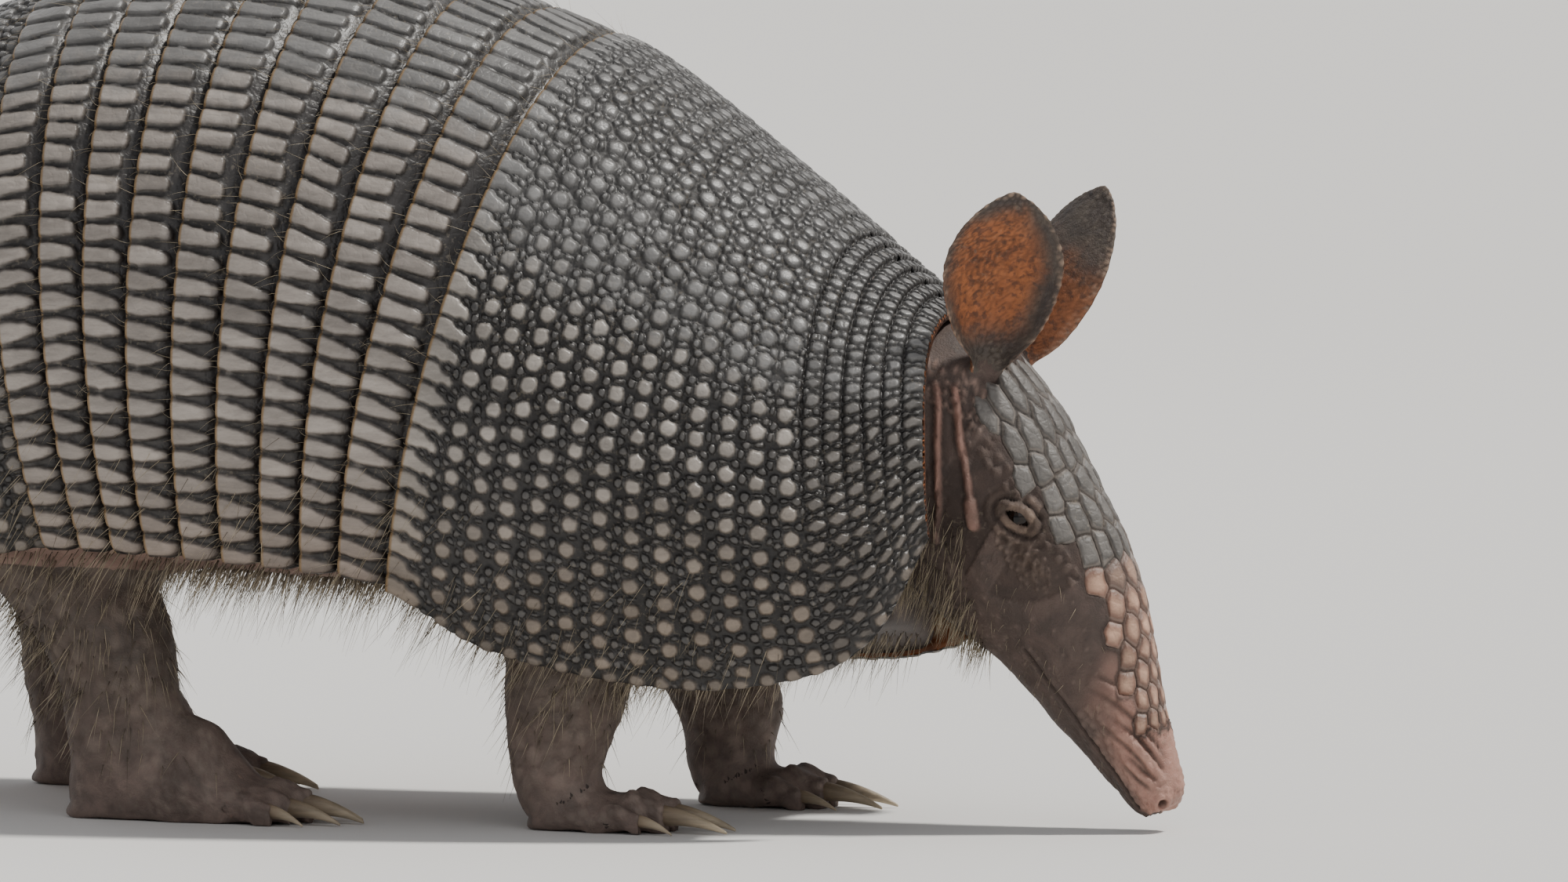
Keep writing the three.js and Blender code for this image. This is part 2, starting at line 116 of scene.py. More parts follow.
# %% Smooth steps between the rows of a table
def smooth_rows(rows, place):
    """Values of every column but the first at each place, on a curve through all the rows."""
    place = np.clip(np.asarray(place, float), rows[0, 0], rows[-1, 0])
    knots = rows[:, 0]
    last = len(rows) - 1
    before = np.maximum(np.arange(last + 1) - 1, 0)
    after = np.minimum(np.arange(last + 1) + 1, last)
    slopes = (rows[after] - rows[before]) / (knots[after] - knots[before])[:, None]
    i = np.clip(np.searchsorted(knots, place, side="left") - 1, 0, last - 1)
    width = knots[i + 1] - knots[i]
    u = (place - knots[i]) / width
    u, width = u[..., None], width[..., None]
    start, end = rows[i, 1:], rows[i + 1, 1:]
    return ((1 + 2 * u) * (1 - u) ** 2 * start + u * (1 - u) ** 2 * width * slopes[i, 1:]
            + u * u * (3 - 2 * u) * end + u * u * (u - 1) * width * slopes[i + 1, 1:])


def smoothstep(low, high, value):
    t = np.clip((value - low) / (high - low), 0, 1)
    return t * t * (3 - 2 * t)


def ebb(low, high, value):
    return 1 - smoothstep(low, high, value)


def mix(a, b, share):
    return a + (b - a) * share


def bell(distance, width):
    return np.exp(-(distance / width) ** 2)


def unit(vectors):
    return vectors / np.maximum(np.linalg.norm(vectors, axis=-1, keepdims=True), 1e-9)


# %% The shell surface
def shell_point(station, angle, depth=0.0):
    """Places on the shell, sunk by a depth towards the inside, as an array of x, y, z."""
    station, angle, depth = np.broadcast_arrays(station, angle, np.asarray(depth, float))
    back_x, back_z, rim_x, rim_z, half_width, _ = np.moveaxis(smooth_rows(SHELL_OUTLINE, station), -1, 0)
    up_x, up_z = back_x - rim_x, back_z - rim_z
    height = np.hypot(up_x, up_z)
    up_x, up_z = up_x / height, up_z / height
    rim_fall = -math.cos(RIM_ANGLE)
    half_height = height / (1 + rim_fall)
    rise = rim_fall * half_height + np.cos(angle) * (half_height - depth)
    level = np.clip((np.cos(angle) + rim_fall) / (1 + rim_fall), 0, 1)
    bulge = FRONT_EDGE_BULGE * smoothstep(-FRONT_STATION - 3, -FRONT_STATION, -station)
    x = rim_x + up_x * rise + bulge * np.sin(np.pi * level)
    y = np.sin(angle) * (half_width - depth)
    z = rim_z + up_z * rise
    return np.stack([x, y, z], -1)


def trunk_point(station, angle, depth):
    """The body inside the shell: the shell's own curve above the rim, a flatter belly below it."""
    station, angle = np.broadcast_arrays(np.asarray(station, float), angle)
    above = shell_point(station, np.clip(angle, -RIM_ANGLE, RIM_ANGLE), depth)
    table = smooth_rows(SHELL_OUTLINE, station)
    up = np.stack([table[..., 0] - table[..., 2], 0 * station, table[..., 1] - table[..., 3]], -1)
    up = unit(up)
    inward = np.clip((np.abs(angle) - RIM_ANGLE) / (np.pi - RIM_ANGLE), 0, 1) * np.pi / 2
    place = above - up * (table[..., 5] * np.sin(inward))[..., None]
    place[..., 1] = above[..., 1] * np.cos(inward) ** 0.8
    return place


# %% The head and neck surface
def head_frame(along):
    """The spine's place, its direction back and its direction to the crown."""
    place = smooth_rows(HEAD_SPINE, along)
    back = smooth_rows(HEAD_SPINE, along + 1) - smooth_rows(HEAD_SPINE, along - 1)
    back = unit(back)
    origin = np.stack([place[..., 0], 0 * place[..., 0], place[..., 1]], -1)
    crown = np.stack([back[..., 1], 0 * back[..., 0], -back[..., 0]], -1)
    return origin, crown


def head_point(along, angle, grow=0.0):
    along, angle, grow = np.broadcast_arrays(np.asarray(along, float), angle, np.asarray(grow, float))
    origin, crown = head_frame(along)
    above, below, half_width = np.moveaxis(smooth_rows(HEAD_SECTIONS, along), -1, 0)
    cosine = np.cos(angle)
    chin = 1 - 0.2 * np.maximum(0, -cosine)
    depth = np.where(cosine > 0, above, below) + grow
    place = origin + crown * (cosine * depth)[..., None]
    place[..., 1] += np.sin(angle) * (half_width + grow) * chin
    return place


EYE_ALONG, EYE_HEIGHT, EYE_RADIUS, EYE_SUNK = 73.5, 8.2, 3.3, 2.3
eye_origin, eye_crown = head_frame(np.array(EYE_ALONG))
eye_above, _, eye_half_width = smooth_rows(HEAD_SECTIONS, EYE_ALONG)
eye_side = eye_half_width * math.sqrt(1 - (EYE_HEIGHT / eye_above) ** 2) - EYE_SUNK
EYE_CENTRE = eye_origin + eye_crown * EYE_HEIGHT + np.array([0, eye_side, 0])

eye_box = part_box("eye_left")
FORWARD_SHIFT = (eye_box[0].x + eye_box[1].x) / 2 / MM - EYE_CENTRE[0]
print("tables start", round(FORWARD_SHIFT, 2), "mm ahead of the origin")


def to_frame(places):
    """From the tables' millimetres to the frame's metres."""
    return (np.asarray(places, float) + [FORWARD_SHIFT, 0, 0]) * MM


# %% [markdown]
# ## The camera and a plain studio
#
# A long lens from three metres off, low beside the right shoulder, keeps the shell's true
# proportions. The picture takes in the front of the animal only; the rest is built all the same
# and shows from other sides. One broad sun stands high in front, a little to the animal's left,
# so that the scutes cast small soft shadows towards the camera. The fills from the camera's side
# and from behind are weak.

# %% Camera
CAMERA_AZIMUTH = math.radians(20)
CAMERA_ELEVATION = math.radians(3)
CAMERA_DISTANCE = 3.0
FRAME_WIDTH_MM = 2000 / 5.4
SENSOR_MM = 36
VIEW_CENTRE = Vector(to_frame([0, 0, 90]))

camera_data = bpy.data.cameras.new("camera")
camera_data.sensor_width = SENSOR_MM
camera_data.lens = SENSOR_MM * CAMERA_DISTANCE / (FRAME_WIDTH_MM * MM)
camera = bpy.data.objects.new("camera", camera_data)
bpy.context.scene.collection.objects.link(camera)
toward_camera = Vector((
    math.sin(CAMERA_AZIMUTH) * math.cos(CAMERA_ELEVATION),
    -math.cos(CAMERA_AZIMUTH) * math.cos(CAMERA_ELEVATION),
    math.sin(CAMERA_ELEVATION),
))
camera.location = VIEW_CENTRE + toward_camera * CAMERA_DISTANCE
camera.rotation_euler = toward_camera.to_track_quat("Z", "Y").to_euler()
bpy.context.scene.camera = camera
print("lens", round(camera_data.lens), "mm")


# %% Floor and lights
def plain_material(name, color, roughness):
    material = bpy.data.materials.new(name)
    material.use_nodes = True
    shader = material.node_tree.nodes["Principled BSDF"]
    shader.inputs["Base Color"].default_value = (*color, 1)
    shader.inputs["Roughness"].default_value = roughness
    return material


FLOOR_SIZE = 120
bpy.ops.mesh.primitive_plane_add(size=FLOOR_SIZE)
floor = bpy.context.object
floor.name = "floor"
floor.data.materials.append(plain_material("floor_paper", (0.8, 0.79, 0.77), 0.9))

world = bpy.data.worlds.new("studio")
world.use_nodes = True
world.node_tree.nodes["Background"].inputs["Color"].default_value = (0.97, 0.975, 1.0, 1)
world.node_tree.nodes["Background"].inputs["Strength"].default_value = 0.42
bpy.context.scene.world = world


def add_light(kind, name, place, target, size, power, color):
    """A soft area light, or a broad sun whose size is its angle."""
    data = bpy.data.lights.new(name, kind)
    if kind == "SUN":
        data.angle = size
    else:
        data.size = size
    data.energy = power
    data.color = color
    light = bpy.data.objects.new(name, data)
    light.location = place
    light.rotation_euler = (Vector(place) - Vector(target)).to_track_quat("Z", "Y").to_euler()
    bpy.context.scene.collection.objects.link(light)


add_light("SUN", "key", (0.8, 0.3, 1.45), (0.1, 0, 0.1), math.radians(6), 3.5, (1.0, 0.97, 0.92))
add_light("AREA", "fill", (1.3, -1.6, 1.1), (0.1, 0, 0.1), 1.5, 6, (0.98, 0.98, 1.0))
add_light("AREA", "rear_fill", (-1.6, 1.2, 0.8), (-0.1, 0, 0.1), 1.4, 5, (0.95, 0.97, 1.0))

# %% [markdown]
# ## Meshes from grids
#
# Sculpting thousands of scutes by hand would take weeks, and a displacement modifier needs an
# image. Here each surface is a grid of places worked out in arrays. The grid is pushed along its
# own normals by a relief, and facts that the finish needs later, such as how deep in a groove a
# place lies, are kept on the mesh as named attributes.

# %% Building one piece
def read(items, key, width=1, kind=np.float32):
    """One value, or a row of them, for every item of a mesh."""
    values = np.empty(len(items) * width, kind)
    items.foreach_get(key, values)
    return values.reshape(-1, width) if width > 1 else values


def show(thing):
    bpy.context.scene.collection.objects.link(thing)
    return thing


def make_piece(name, places, parts, layers):
    """A mesh object from places, face groups with their own unwraps, and values per place."""
    corners = np.concatenate([faces.ravel() for faces, _ in parts]).astype(np.int32)
    sides = np.concatenate([np.full(len(faces), faces.shape[1]) for faces, _ in parts])
    starts = (np.cumsum(sides) - sides).astype(np.int32)
    unwrap = np.concatenate([uv[faces.ravel()] for faces, uv in parts]).astype(np.float32)
    mesh = bpy.data.meshes.new(name)
    mesh.vertices.add(len(places))
    mesh.vertices.foreach_set("co", to_frame(places).astype(np.float32).ravel())
    mesh.loops.add(len(corners))
    mesh.loops.foreach_set("vertex_index", corners)
    mesh.polygons.add(len(starts))
    mesh.polygons.foreach_set("loop_start", starts)
    mesh.polygons.foreach_set("use_smooth", np.ones(len(starts), bool))
    mesh.uv_layers.new(name="OFBake").data.foreach_set("uv", unwrap.ravel())
    for layer, values in layers.items():
        attribute = mesh.attributes.new(layer, "FLOAT", "POINT")
        attribute.data.foreach_set("value", np.broadcast_to(values, len(places)).astype(np.float32))
    mesh.update(calc_edges=True)
    mesh.validate()
    print(name, "triangles", int((sides - 2).sum()))
    return show(bpy.data.objects.new(name, mesh))


def grid_faces(rows, columns, first=0, flip=False, closed=False):
    """Quads of a grid of corners counted row by row."""
    index = first + np.arange(rows * columns).reshape(rows, columns)
    if closed:
        index = np.hstack([index, index[:, :1]])
    quads = np.stack([index[:-1, :-1], index[:-1, 1:], index[1:, 1:], index[1:, :-1]], -1)
    quads = quads.reshape(-1, 4)
    return quads[:, ::-1] if flip else quads


def grid_normals(places):
    """Unit normals of a grid of places, pointing to the side that grid_faces faces."""
    normals = np.cross(np.gradient(places, axis=1), np.gradient(places, axis=0))
    length = np.linalg.norm(normals, axis=-1, keepdims=True)
    return normals / np.maximum(length, 1e-9)


# %% Seeded noise for places in space
def value_noise(places, size, seed):
    """Smooth noise from -1 to 1 whose bumps are about one size across."""
    q = np.asarray(places, float) / size
    cell = np.floor(q).astype(np.int64)
    f = q - cell
    f = f * f * (3 - 2 * f)
    total = 0
    for corner in range(8):
        offset = np.array([corner & 1, corner >> 1 & 1, corner >> 2 & 1])
        c = cell + offset
        mixed = (c[..., 0] * 73856093) ^ (c[..., 1] * 19349663) ^ (c[..., 2] * 83492791) ^ (seed * 2654435)
        mixed = (mixed ^ (mixed >> 13)) * 1274126177
        mixed = (mixed ^ (mixed >> 16)) & 0xFFFFFF
        share = np.prod(np.where(offset == 1, f, 1 - f), axis=-1)
        total = total + share * (mixed / 0x7FFFFF - 1)
    return total


# %% [markdown]
# ## Scutes: a mosaic of bony scales
#
# Under the horn of the shell lie small bony plates. On the two shields each large round scute
# stands in a ring of small ones, a rosette. Every scute is given a seed with a radius, and each
# place of the surface belongs to the scute whose rim is nearest. The distance to the border
# between two scutes cuts the groove. That is a Voronoi pattern with a size for each cell.

# %% Spread seeds evenly over a plate
class Sheet:
    """A plate on a surface, addressed by 0..1 from front to rear and 0..1 from right to left."""

    ROWS, COLUMNS = 49, 121

    def __init__(self, front, rear, span=RIM_ANGLE, surface=shell_point):
        self.surface = surface
        down = np.linspace(0, 1, self.ROWS)
        across = np.linspace(0, 1, self.COLUMNS)
        self.station = np.repeat(mix(front, rear, down)[:, None], self.COLUMNS, 1)
        self.angle = np.repeat((span * (2 * across - 1))[None], self.ROWS, 0)
        for _ in range(3):
            self._even(0, down)
            self._even(1, across)
        self.row_length = self._lengths(1)[-1]
        self.column_length = self._lengths(0)[-1]

    def _lengths(self, axis):
        steps = np.linalg.norm(np.diff(self.surface(self.station, self.angle), axis=axis), axis=-1)
        total = np.cumsum(np.moveaxis(steps, axis, 0), 0)
        return np.vstack([0 * total[:1], total])

    def _even(self, axis, shares):
        lengths = self._lengths(axis)
        station = np.moveaxis(self.station, axis, 0)
        angle = np.moveaxis(self.angle, axis, 0)
        for line in range(lengths.shape[1]):
            wanted = shares * lengths[-1, line]
            station[:, line], angle[:, line] = (
                np.interp(wanted, lengths[:, line], station[:, line]),
                np.interp(wanted, lengths[:, line], angle[:, line]),
            )

    def at(self, down, across):
        """Station and angle at shares of the plate's length and width."""
        down, across = np.broadcast_arrays(down, across)
        r = np.clip(down, 0, 1) * (self.ROWS - 1)
        c = np.clip(across, 0, 1) * (self.COLUMNS - 1)
        r0 = np.minimum(r.astype(int), self.ROWS - 2)
        c0 = np.minimum(c.astype(int), self.COLUMNS - 2)
        fr, fc = r - r0, c - c0
        found = []
        for table in (self.station, self.angle):
            top = mix(table[r0, c0], table[r0, c0 + 1], fc)
            bottom = mix(table[r0 + 1, c0], table[r0 + 1, c0 + 1], fc)
            found.append(mix(top, bottom, fr))
        return found

    def width(self, down):
        return float(np.interp(down, np.linspace(0, 1, self.ROWS), self.row_length))

    def length(self, across=0.5):
        return float(np.interp(across, np.linspace(0, 1, self.COLUMNS), self.column_length))


# %% The mosaic: which scute a place belongs to, and how far it lies from the border
def tree_of(places):
    """A search tree that finds the nearest of some places."""
    tree = KDTree(len(places))
    for index, place in enumerate(places):
        tree.insert(place, index)
    tree.balance()
    return tree


def mosaic(places, seeds, radii, owners, reach=8):
    """Distance to the nearest border, and the owner, for every place."""
    tree = tree_of(seeds)
    flat = places.reshape(-1, 3)
    near = np.empty((len(flat), reach), np.int64)
    away = np.empty((len(flat), reach))
    for row, place in enumerate(flat):
        for column, (_, index, distance) in enumerate(tree.find_n(place, reach)):
            near[row, column] = index
            away[row, column] = distance
    outside = away - radii[near]
    owner = owners[near]
    best = outside.argmin(1)
    line = np.arange(len(flat))
    mine = owner[line, best]
    nearest = outside[line, best]
    rival = np.where(owner == mine[:, None], np.inf, outside).min(1)
    rival = np.where(np.isfinite(rival), rival, nearest + 4)
    shape = places.shape[:-1]
    middle = nearest + radii[near[line, best]]
    return (rival - nearest).reshape(shape) / 2, mine.reshape(shape), middle.reshape(shape)


def scatter(places, spacing, rng, order=None):
    """Indices of places picked one by one so that no two are closer than the spacing."""
    order = rng.permutation(len(places)) if order is None else order
    cells = np.floor(places / spacing).astype(int)
    around = [(dx, dy, dz) for dx in (-1, 0, 1) for dy in (-1, 0, 1) for dz in (-1, 0, 1)]
    taken = {}
    chosen = []
    for index in order:
        x, y, z = cells[index]
        px, py, pz = places[index]
        crowded = any(
            (qx - px) ** 2 + (qy - py) ** 2 + (qz - pz) ** 2 < spacing ** 2
            for dx, dy, dz in around
            for qx, qy, qz in taken.get((x + dx, y + dy, z + dz), ())
        )
        if not crowded:
            taken.setdefault((x, y, z), []).append((px, py, pz))
            chosen.append(index)
    return np.array(chosen)


# %% [markdown]
# ## One plate of the shell
#
# A plate is a thin closed body: the carved outer sheet, a rounded rim and a plain inner sheet
# with far fewer faces. The rear edge of a band runs out into a thin lip over the next band, as
# on the animal, where the bands slide under each other when it bends.

# %% Outer sheet, rim and inner sheet in one closed mesh
INNER_DEPTH = 3.0
INNER_STEP = 6
LIP_THICKNESS = 0.75
OUTER_SHARE = 0.72


def carved_sheet(sheet, carve, down, across):
    """carve(down, across, station, angle, places) gives the depths and attributes of the outer sheet."""
    down, across = np.broadcast_arrays(down, across)
    station, angle = sheet.at(down, across)
    smooth = sheet.surface(station, angle)
    depth, values = carve(down, across, station, angle, smooth)
    return station, angle, depth, values, smooth - grid_normals(smooth) * depth[..., None]


def smooth_crown(piece, seam, places):
    """Shade a half plate at the crown as if the other half were part of it."""
    normals = read(piece.data.vertices, "normal", 3)
    normals[seam] = grid_normals(places)[:, 1]
    piece.data.normals_split_custom_set_from_vertices(normals)


def plate_piece(name, sheet, rows, columns, carve, lip_station=None, inner_depth=INNER_DEPTH, half=None):
    """A whole plate, or its right (0) or left (1) half."""
    down = np.linspace(0, 1, rows)[:, None]
    across = np.linspace(0, 1, columns)[None]
    reach = across if half is None else (half + across) / 2
    station, angle, depth, values, outer = carved_sheet(sheet, carve, down, reach)

    # Three rings of places lead from the border round the rim and under it.
    index = np.arange(rows * columns).reshape(rows, columns)
    border = np.r_[index[0, :-1], index[:-1, -1], index[-1, :0:-1], index[:0:-1, 0]]
    loop_rows, loop_columns = divmod(border, columns)
    rim_station, rim_angle, rim_depth = (grid.ravel()[border] for grid in (station, angle, depth))
    at_rear = loop_rows == rows - 1
    under = np.where(at_rear & (lip_station is not None), lip_station or 0, rim_station)
    ring_depths = [
        (rim_station, rim_depth + np.where(at_rear, LIP_THICKNESS * 0.6, 0.5)),
        (mix(rim_station, under, 0.15), rim_depth + np.where(at_rear, LIP_THICKNESS, 1.0)),
        (under, np.maximum(rim_depth + LIP_THICKNESS + 0.1, 1.1)),
    ]
    rings = [sheet.surface(k, rim_angle, np.minimum(d, inner_depth - 0.15)) for k, d in ring_depths]

    inner_rows, inner_columns = (
        np.unique(np.r_[np.arange(0, n, INNER_STEP), n - 1]) for n in (rows, columns))
    coarse = np.ix_(inner_rows, inner_columns)
    inner_station = station[coarse]
    if lip_station is not None:
        inner_station[-1] = np.minimum(inner_station[-1], lip_station)
    inner = sheet.surface(inner_station, angle[coarse], inner_depth)
    places = np.vstack([outer.reshape(-1, 3), *rings, inner.reshape(-1, 3)])
    size, outer_count, inner_count = len(border), rows * columns, inner_station.size
    inner_first = outer_count + size * len(rings)

    # The unwrap: the outer sheet above, the inner one below it, and each ring just outside its sheet.
    u, v = (line.ravel() for line in np.broadcast_arrays(0.01 + 0.98 * across, down))
    upper = np.stack([u, 0.02 + (OUTER_SHARE - 0.03) * v], -1)
    lower = np.stack([u, OUTER_SHARE + 0.03 + (0.96 - OUTER_SHARE) * v], -1)
    middle, lower_middle = np.array([0.5, OUTER_SHARE / 2]), np.array([0.5, 0.86])
    ring_uv = [middle + (upper[border] - middle) * (1 + 0.004 * (k + 1)) for k in range(len(rings))]
    uv = np.vstack([upper, *ring_uv, np.zeros((inner_count, 2))])
    inner_uv = uv.copy()
    inner_uv[inner_first:] = lower[index[coarse].ravel()]
    inner_uv[inner_first - size:inner_first] = lower_middle + (lower[border] - lower_middle) * 1.01

    parts = [(grid_faces(rows, columns), uv)]
    previous = border
    for number in range(len(rings)):
        ring = outer_count + number * size + np.arange(size)
        parts.append((np.stack([np.roll(previous, -1), previous, ring, np.roll(ring, -1)], -1), uv))
        previous = ring

    # Fan from the fine last ring to the coarse inner sheet.
    inner_index = inner_first + np.arange(inner_count).reshape(inner_station.shape)
    stops = np.flatnonzero(np.isin(loop_rows, inner_rows) & np.isin(loop_columns, inner_columns))
    stop_index = inner_index[np.searchsorted(inner_rows, loop_rows[stops]),
                             np.searchsorted(inner_columns, loop_columns[stops])]
    nearest_stop = np.searchsorted(stops, np.arange(size), side="right") - 1
    stop_gap = np.diff(np.r_[stops, size])
    late = np.arange(size) - stops[nearest_stop] >= (stop_gap[nearest_stop] + 1) // 2
    attached = (nearest_stop + late) % len(stops)
    fan = np.stack([np.roll(previous, -1), previous, stop_index[attached]], -1)
    switch = stops + (stop_gap + 1) // 2
    bridge = np.stack([previous[switch % size], stop_index, np.roll(stop_index, -1)], -1)
    parts.append((np.vstack([fan, bridge]), inner_uv))
    parts.append((grid_faces(*inner_station.shape, inner_first, flip=True), inner_uv))

    every = {}
    for layer, grid in values.items():
        line = np.broadcast_to(grid, depth.shape).ravel()
        every[layer] = np.r_[line, np.tile(line[border], len(rings)), np.zeros(inner_count)]
    every["inside"] = np.r_[np.zeros(outer_count), np.repeat([0.0, 0.3, 1.0], size), np.ones(inner_count)]
    piece = make_piece(name, places, parts, every)
    if half is not None:
        crown = 0.5 + np.array([[-0.5, 0, 0.5]]) / (columns - 1)
        smooth_crown(piece, index[:, -1 if half == 0 else 0], carved_sheet(sheet, carve, down, crown)[-1])
    return piece


# %% [markdown]
# ## The two shields
#
# Their scutes lie in rows along the rear edge, each row half a scute out of step with the next.
# The rearmost row is different: long pale plates side by side, a border that the first band
# slides under. The front rows are narrow and bend with the neck, so they stand apart like slats.
# Each shield is made as a right and a left half, which meet at the crown and share their shading
# there, so that no single piece grows too heavy.

# %% Seeds of a shield
SCUTE_PITCH = 5.9
SCUTE_ROW = 6.5
SCUTE_RADIUS = 1.9
SMALL_RADIUS = 0.62
SMALL_GAP = 2.1
RING_SCALES = 7
EDGE_PITCH = 5.4
EDGE_ROW = 8.4
RIM_ROW = 4.6
SLAT_ROW = 4.8
SLATS = 6
SLAT_PITCH = 4.9


class Seeds:
    """Seeds of a mosaic: share down, share across, radius, owner, and lightness."""

    def __init__(self):
        self.rows = []
        self.owners = 0

    def add(self, down, across, radius, light, same=False):
        self.owners += 0 if same else 1
        self.rows.append((down, across, radius, self.owners - 1, light))

    def columns(self):
        table = np.array(self.rows)
        return (*table[:, :3].T, table[:, 3].astype(int), table[:, 4])


def shield_seeds(sheet, rng, slats, front_light):
    seeds = Seeds()
    length = sheet.length(0.25)
    edge = EDGE_ROW / length
    count = round(sheet.width(1) / EDGE_PITCH)
    for k in range(count):
        a = (k + 0.5 + rng.uniform(-0.05, 0.05)) / count
        stretch = rng.uniform(0.85, 1.1)
        for step in range(4):
            seeds.add(1 - edge * (0.16 + 0.2 * step * stretch), a, 2.0 - 0.3 * step, 1, same=step > 0)
        for step in range(2):
            seeds.add(1 - edge * (0.66 + 0.28 * step), (k + 1 + rng.uniform(-0.08, 0.08)) / count,
                      0.4 + 0.2 * step, 0)
    for s in range(slats):
        d = (s + 0.5) * SLAT_ROW / length
        count = round(sheet.width(d) / SLAT_PITCH)
        for k in range(count):
            a = (k + 0.5 + 0.5 * (s % 2) + rng.uniform(-0.12, 0.12)) / count
            if 0 < a < 1:
                seeds.add(d, a, 1.5, front_light)
                seeds.add(d - 0.2 * SLAT_ROW / length, a + 0.5 / count, 0.6, 0.1)
                seeds.add(d + 0.25 * SLAT_ROW / length, a + 0.5 / count, 0.7, 0.1)
    front = slats * SLAT_ROW / length
    rest = 1 - edge - front
    rows = round(rest * length / SCUTE_ROW)
    scutes = []
    for r in range(rows):
        d = front + (r + 0.5) / rows * rest
        width = sheet.width(d)
        count = round((width - 2 * RIM_ROW) / SCUTE_PITCH)
        margin = RIM_ROW / width
        for k in range(count + 1 - r % 2):
            a = margin + (k + 0.5 * (r % 2)) / count * (1 - 2 * margin)
            a += rng.uniform(-0.05, 0.05) * SCUTE_PITCH / width
            dd = d + rng.uniform(-0.04, 0.04) * SCUTE_ROW / length
            big = SCUTE_RADIUS * rng.uniform(0.92, 1.06)
            seeds.add(dd, a, big, 1)
            scutes.append((dd, a, big, width, rng.uniform(0, 2 * math.pi)))
    # A row of squarish plates along both lower rims.
    steps = round(length / SLAT_PITCH)
    for k in range(steps):
        d = (k + 0.5 + rng.uniform(-0.08, 0.08)) / steps
        for a in (1.5 / sheet.width(d), 1 - 1.5 / sheet.width(d)):
            if d < 1 - edge:
                seeds.add(d, a, 1.7, 0.75)
    add_small_scales(sheet, seeds, scutes, length, rng)
    return seeds.columns()


def add_small_scales(sheet, seeds, scutes, length, rng):
    """Small scales crowd round every scute, and one ring often serves two scutes."""
    tries = []
    for dd, a, big, width, turn in scutes:
        for leaf in range(RING_SCALES):
            way = turn + 2 * math.pi * (leaf + rng.uniform(-0.12, 0.12)) / RING_SCALES
            far = big + 1.15 + rng.uniform(-0.06, 0.1)
            tries.append((dd + far * math.cos(way) / length, a + far * math.sin(way) / width))
    loose = len(scutes) * 10
    tries = np.vstack([tries, rng.uniform(0, 1, (loose, 2))])
    places = shell_point(*sheet.at(*tries.T))
    table = np.array(seeds.rows)
    standing = shell_point(*sheet.at(table[:, 0], table[:, 1]))
    tree = tree_of(standing)
    free = [all(distance > table[index, 2] + 0.85 for _, index, distance in tree.find_range(place, 3.2))
            for place in places]
    kept = np.flatnonzero(free)
    chosen = kept[scatter(places[kept], SMALL_GAP, rng, order=np.arange(len(kept)))]
    for down, across in tries[chosen]:
        seeds.add(down, across, SMALL_RADIUS * rng.uniform(0.75, 1.2), rng.uniform(0, 0.2))
    print("scutes", len(scutes), "small scales", len(chosen))

# %% Carving a shield
GROOVE_DEPTH = 0.85
DOME_WIDTH = 1.7
SCUTE_EDGE = 0.5
SMALL_EDGE = 0.95
UNBOUNDED = 9
SLOT_DEPTH = 0.75
SLAT_SLOPE = 0.7
RIM_ROUNDING = 0.45
ARC_LENGTH = 300


def dome(border, width):
    """A quarter-circle rise from 0 on the border to 1 at a width inside it."""
    return np.sqrt(np.clip(1 - (1 - np.clip(border / width, 0, 1)) ** 2, 0, 1))


def shield_carver(sheet, seed, slats, front_sink=0.0, front_light=0.4):
    rng = np.random.default_rng(seed)
    down, across, radius, owner, light = shield_seeds(sheet, rng, slats, front_light)
    keep = (down > -0.01) & (down < 1.01) & (across > 0) & (across < 1)
    down, across, radius, owner, light = (v[keep] for v in (down, across, radius, owner, light))
    seeds = shell_point(*sheet.at(down, across))
    lightness = np.zeros(owner.max() + 1)
    lightness[owner] = light
    tint = rng.uniform(0, 1, owner.max() + 1)
    # Scutes and small scales are round, however their neighbours crowd them.
    roundness = np.where(radius > 1, radius + SCUTE_EDGE, radius + SMALL_EDGE)
    roundness[(np.bincount(owner)[owner] > 1) | (light == front_light)] = UNBOUNDED
    owner_radius = np.zeros(owner.max() + 1)
    owner_radius[owner] = roundness
    length = sheet.length(0.25)

    def carve(d, a, station, angle, places):
        wobble = np.stack([value_noise(places, 1.8, seed + k) for k in range(3)], -1) * 0.16
        border, mine, middle = mosaic(places + wobble, seeds, radius, owner)
        border = np.clip(np.minimum(border, owner_radius[mine] - middle), 0, 2.5)
        big = lightness[mine]
        back = ebb(math.radians(48), math.radians(77), np.abs(angle))
        depth = GROOVE_DEPTH * (1 - dome(border, mix(0.95, DOME_WIDTH, big)))
        depth += (1 - big) * 0.2 * (1 - 0.6 * back) + 0.12 * (tint[mine] - 0.5)
        slot = 0 * d
        if slats:
            place = d * length / SLAT_ROW
            gap = np.abs(place - np.round(place)) * SLAT_ROW
            upper = ebb(math.radians(62), math.radians(96), np.abs(angle))
            among = (place > 0.4) & (place < slats + 0.4)
            slot = np.where(among, ebb(0.25, 0.95, gap), 0) * upper
            depth += SLOT_DEPTH * slot + SLAT_SLOPE * (place % 1) * upper * (place < slats)
        depth += front_sink * ebb(0, 0.09, d)
        edge = np.minimum(np.minimum(a, 1 - a) * ARC_LENGTH, (1 - d) * length)
        depth += RIM_ROUNDING * ebb(0, 0.8, edge) ** 2
        depth += 0.14 * value_noise(places, 9, seed + 7) + 0.14
        values = {
            "border": border,
            "light": big,
            # painted shade: the slots between the front slats and the sunk front of the hip shield are
            # painted near black
            "sunk": np.maximum(slot, front_sink / 3 * ebb(0.0, 0.08, d)),
            "back": back,
            "tint": tint[mine],
            "edge": (1 - d) * length,
        }
        return depth, values

    return carve


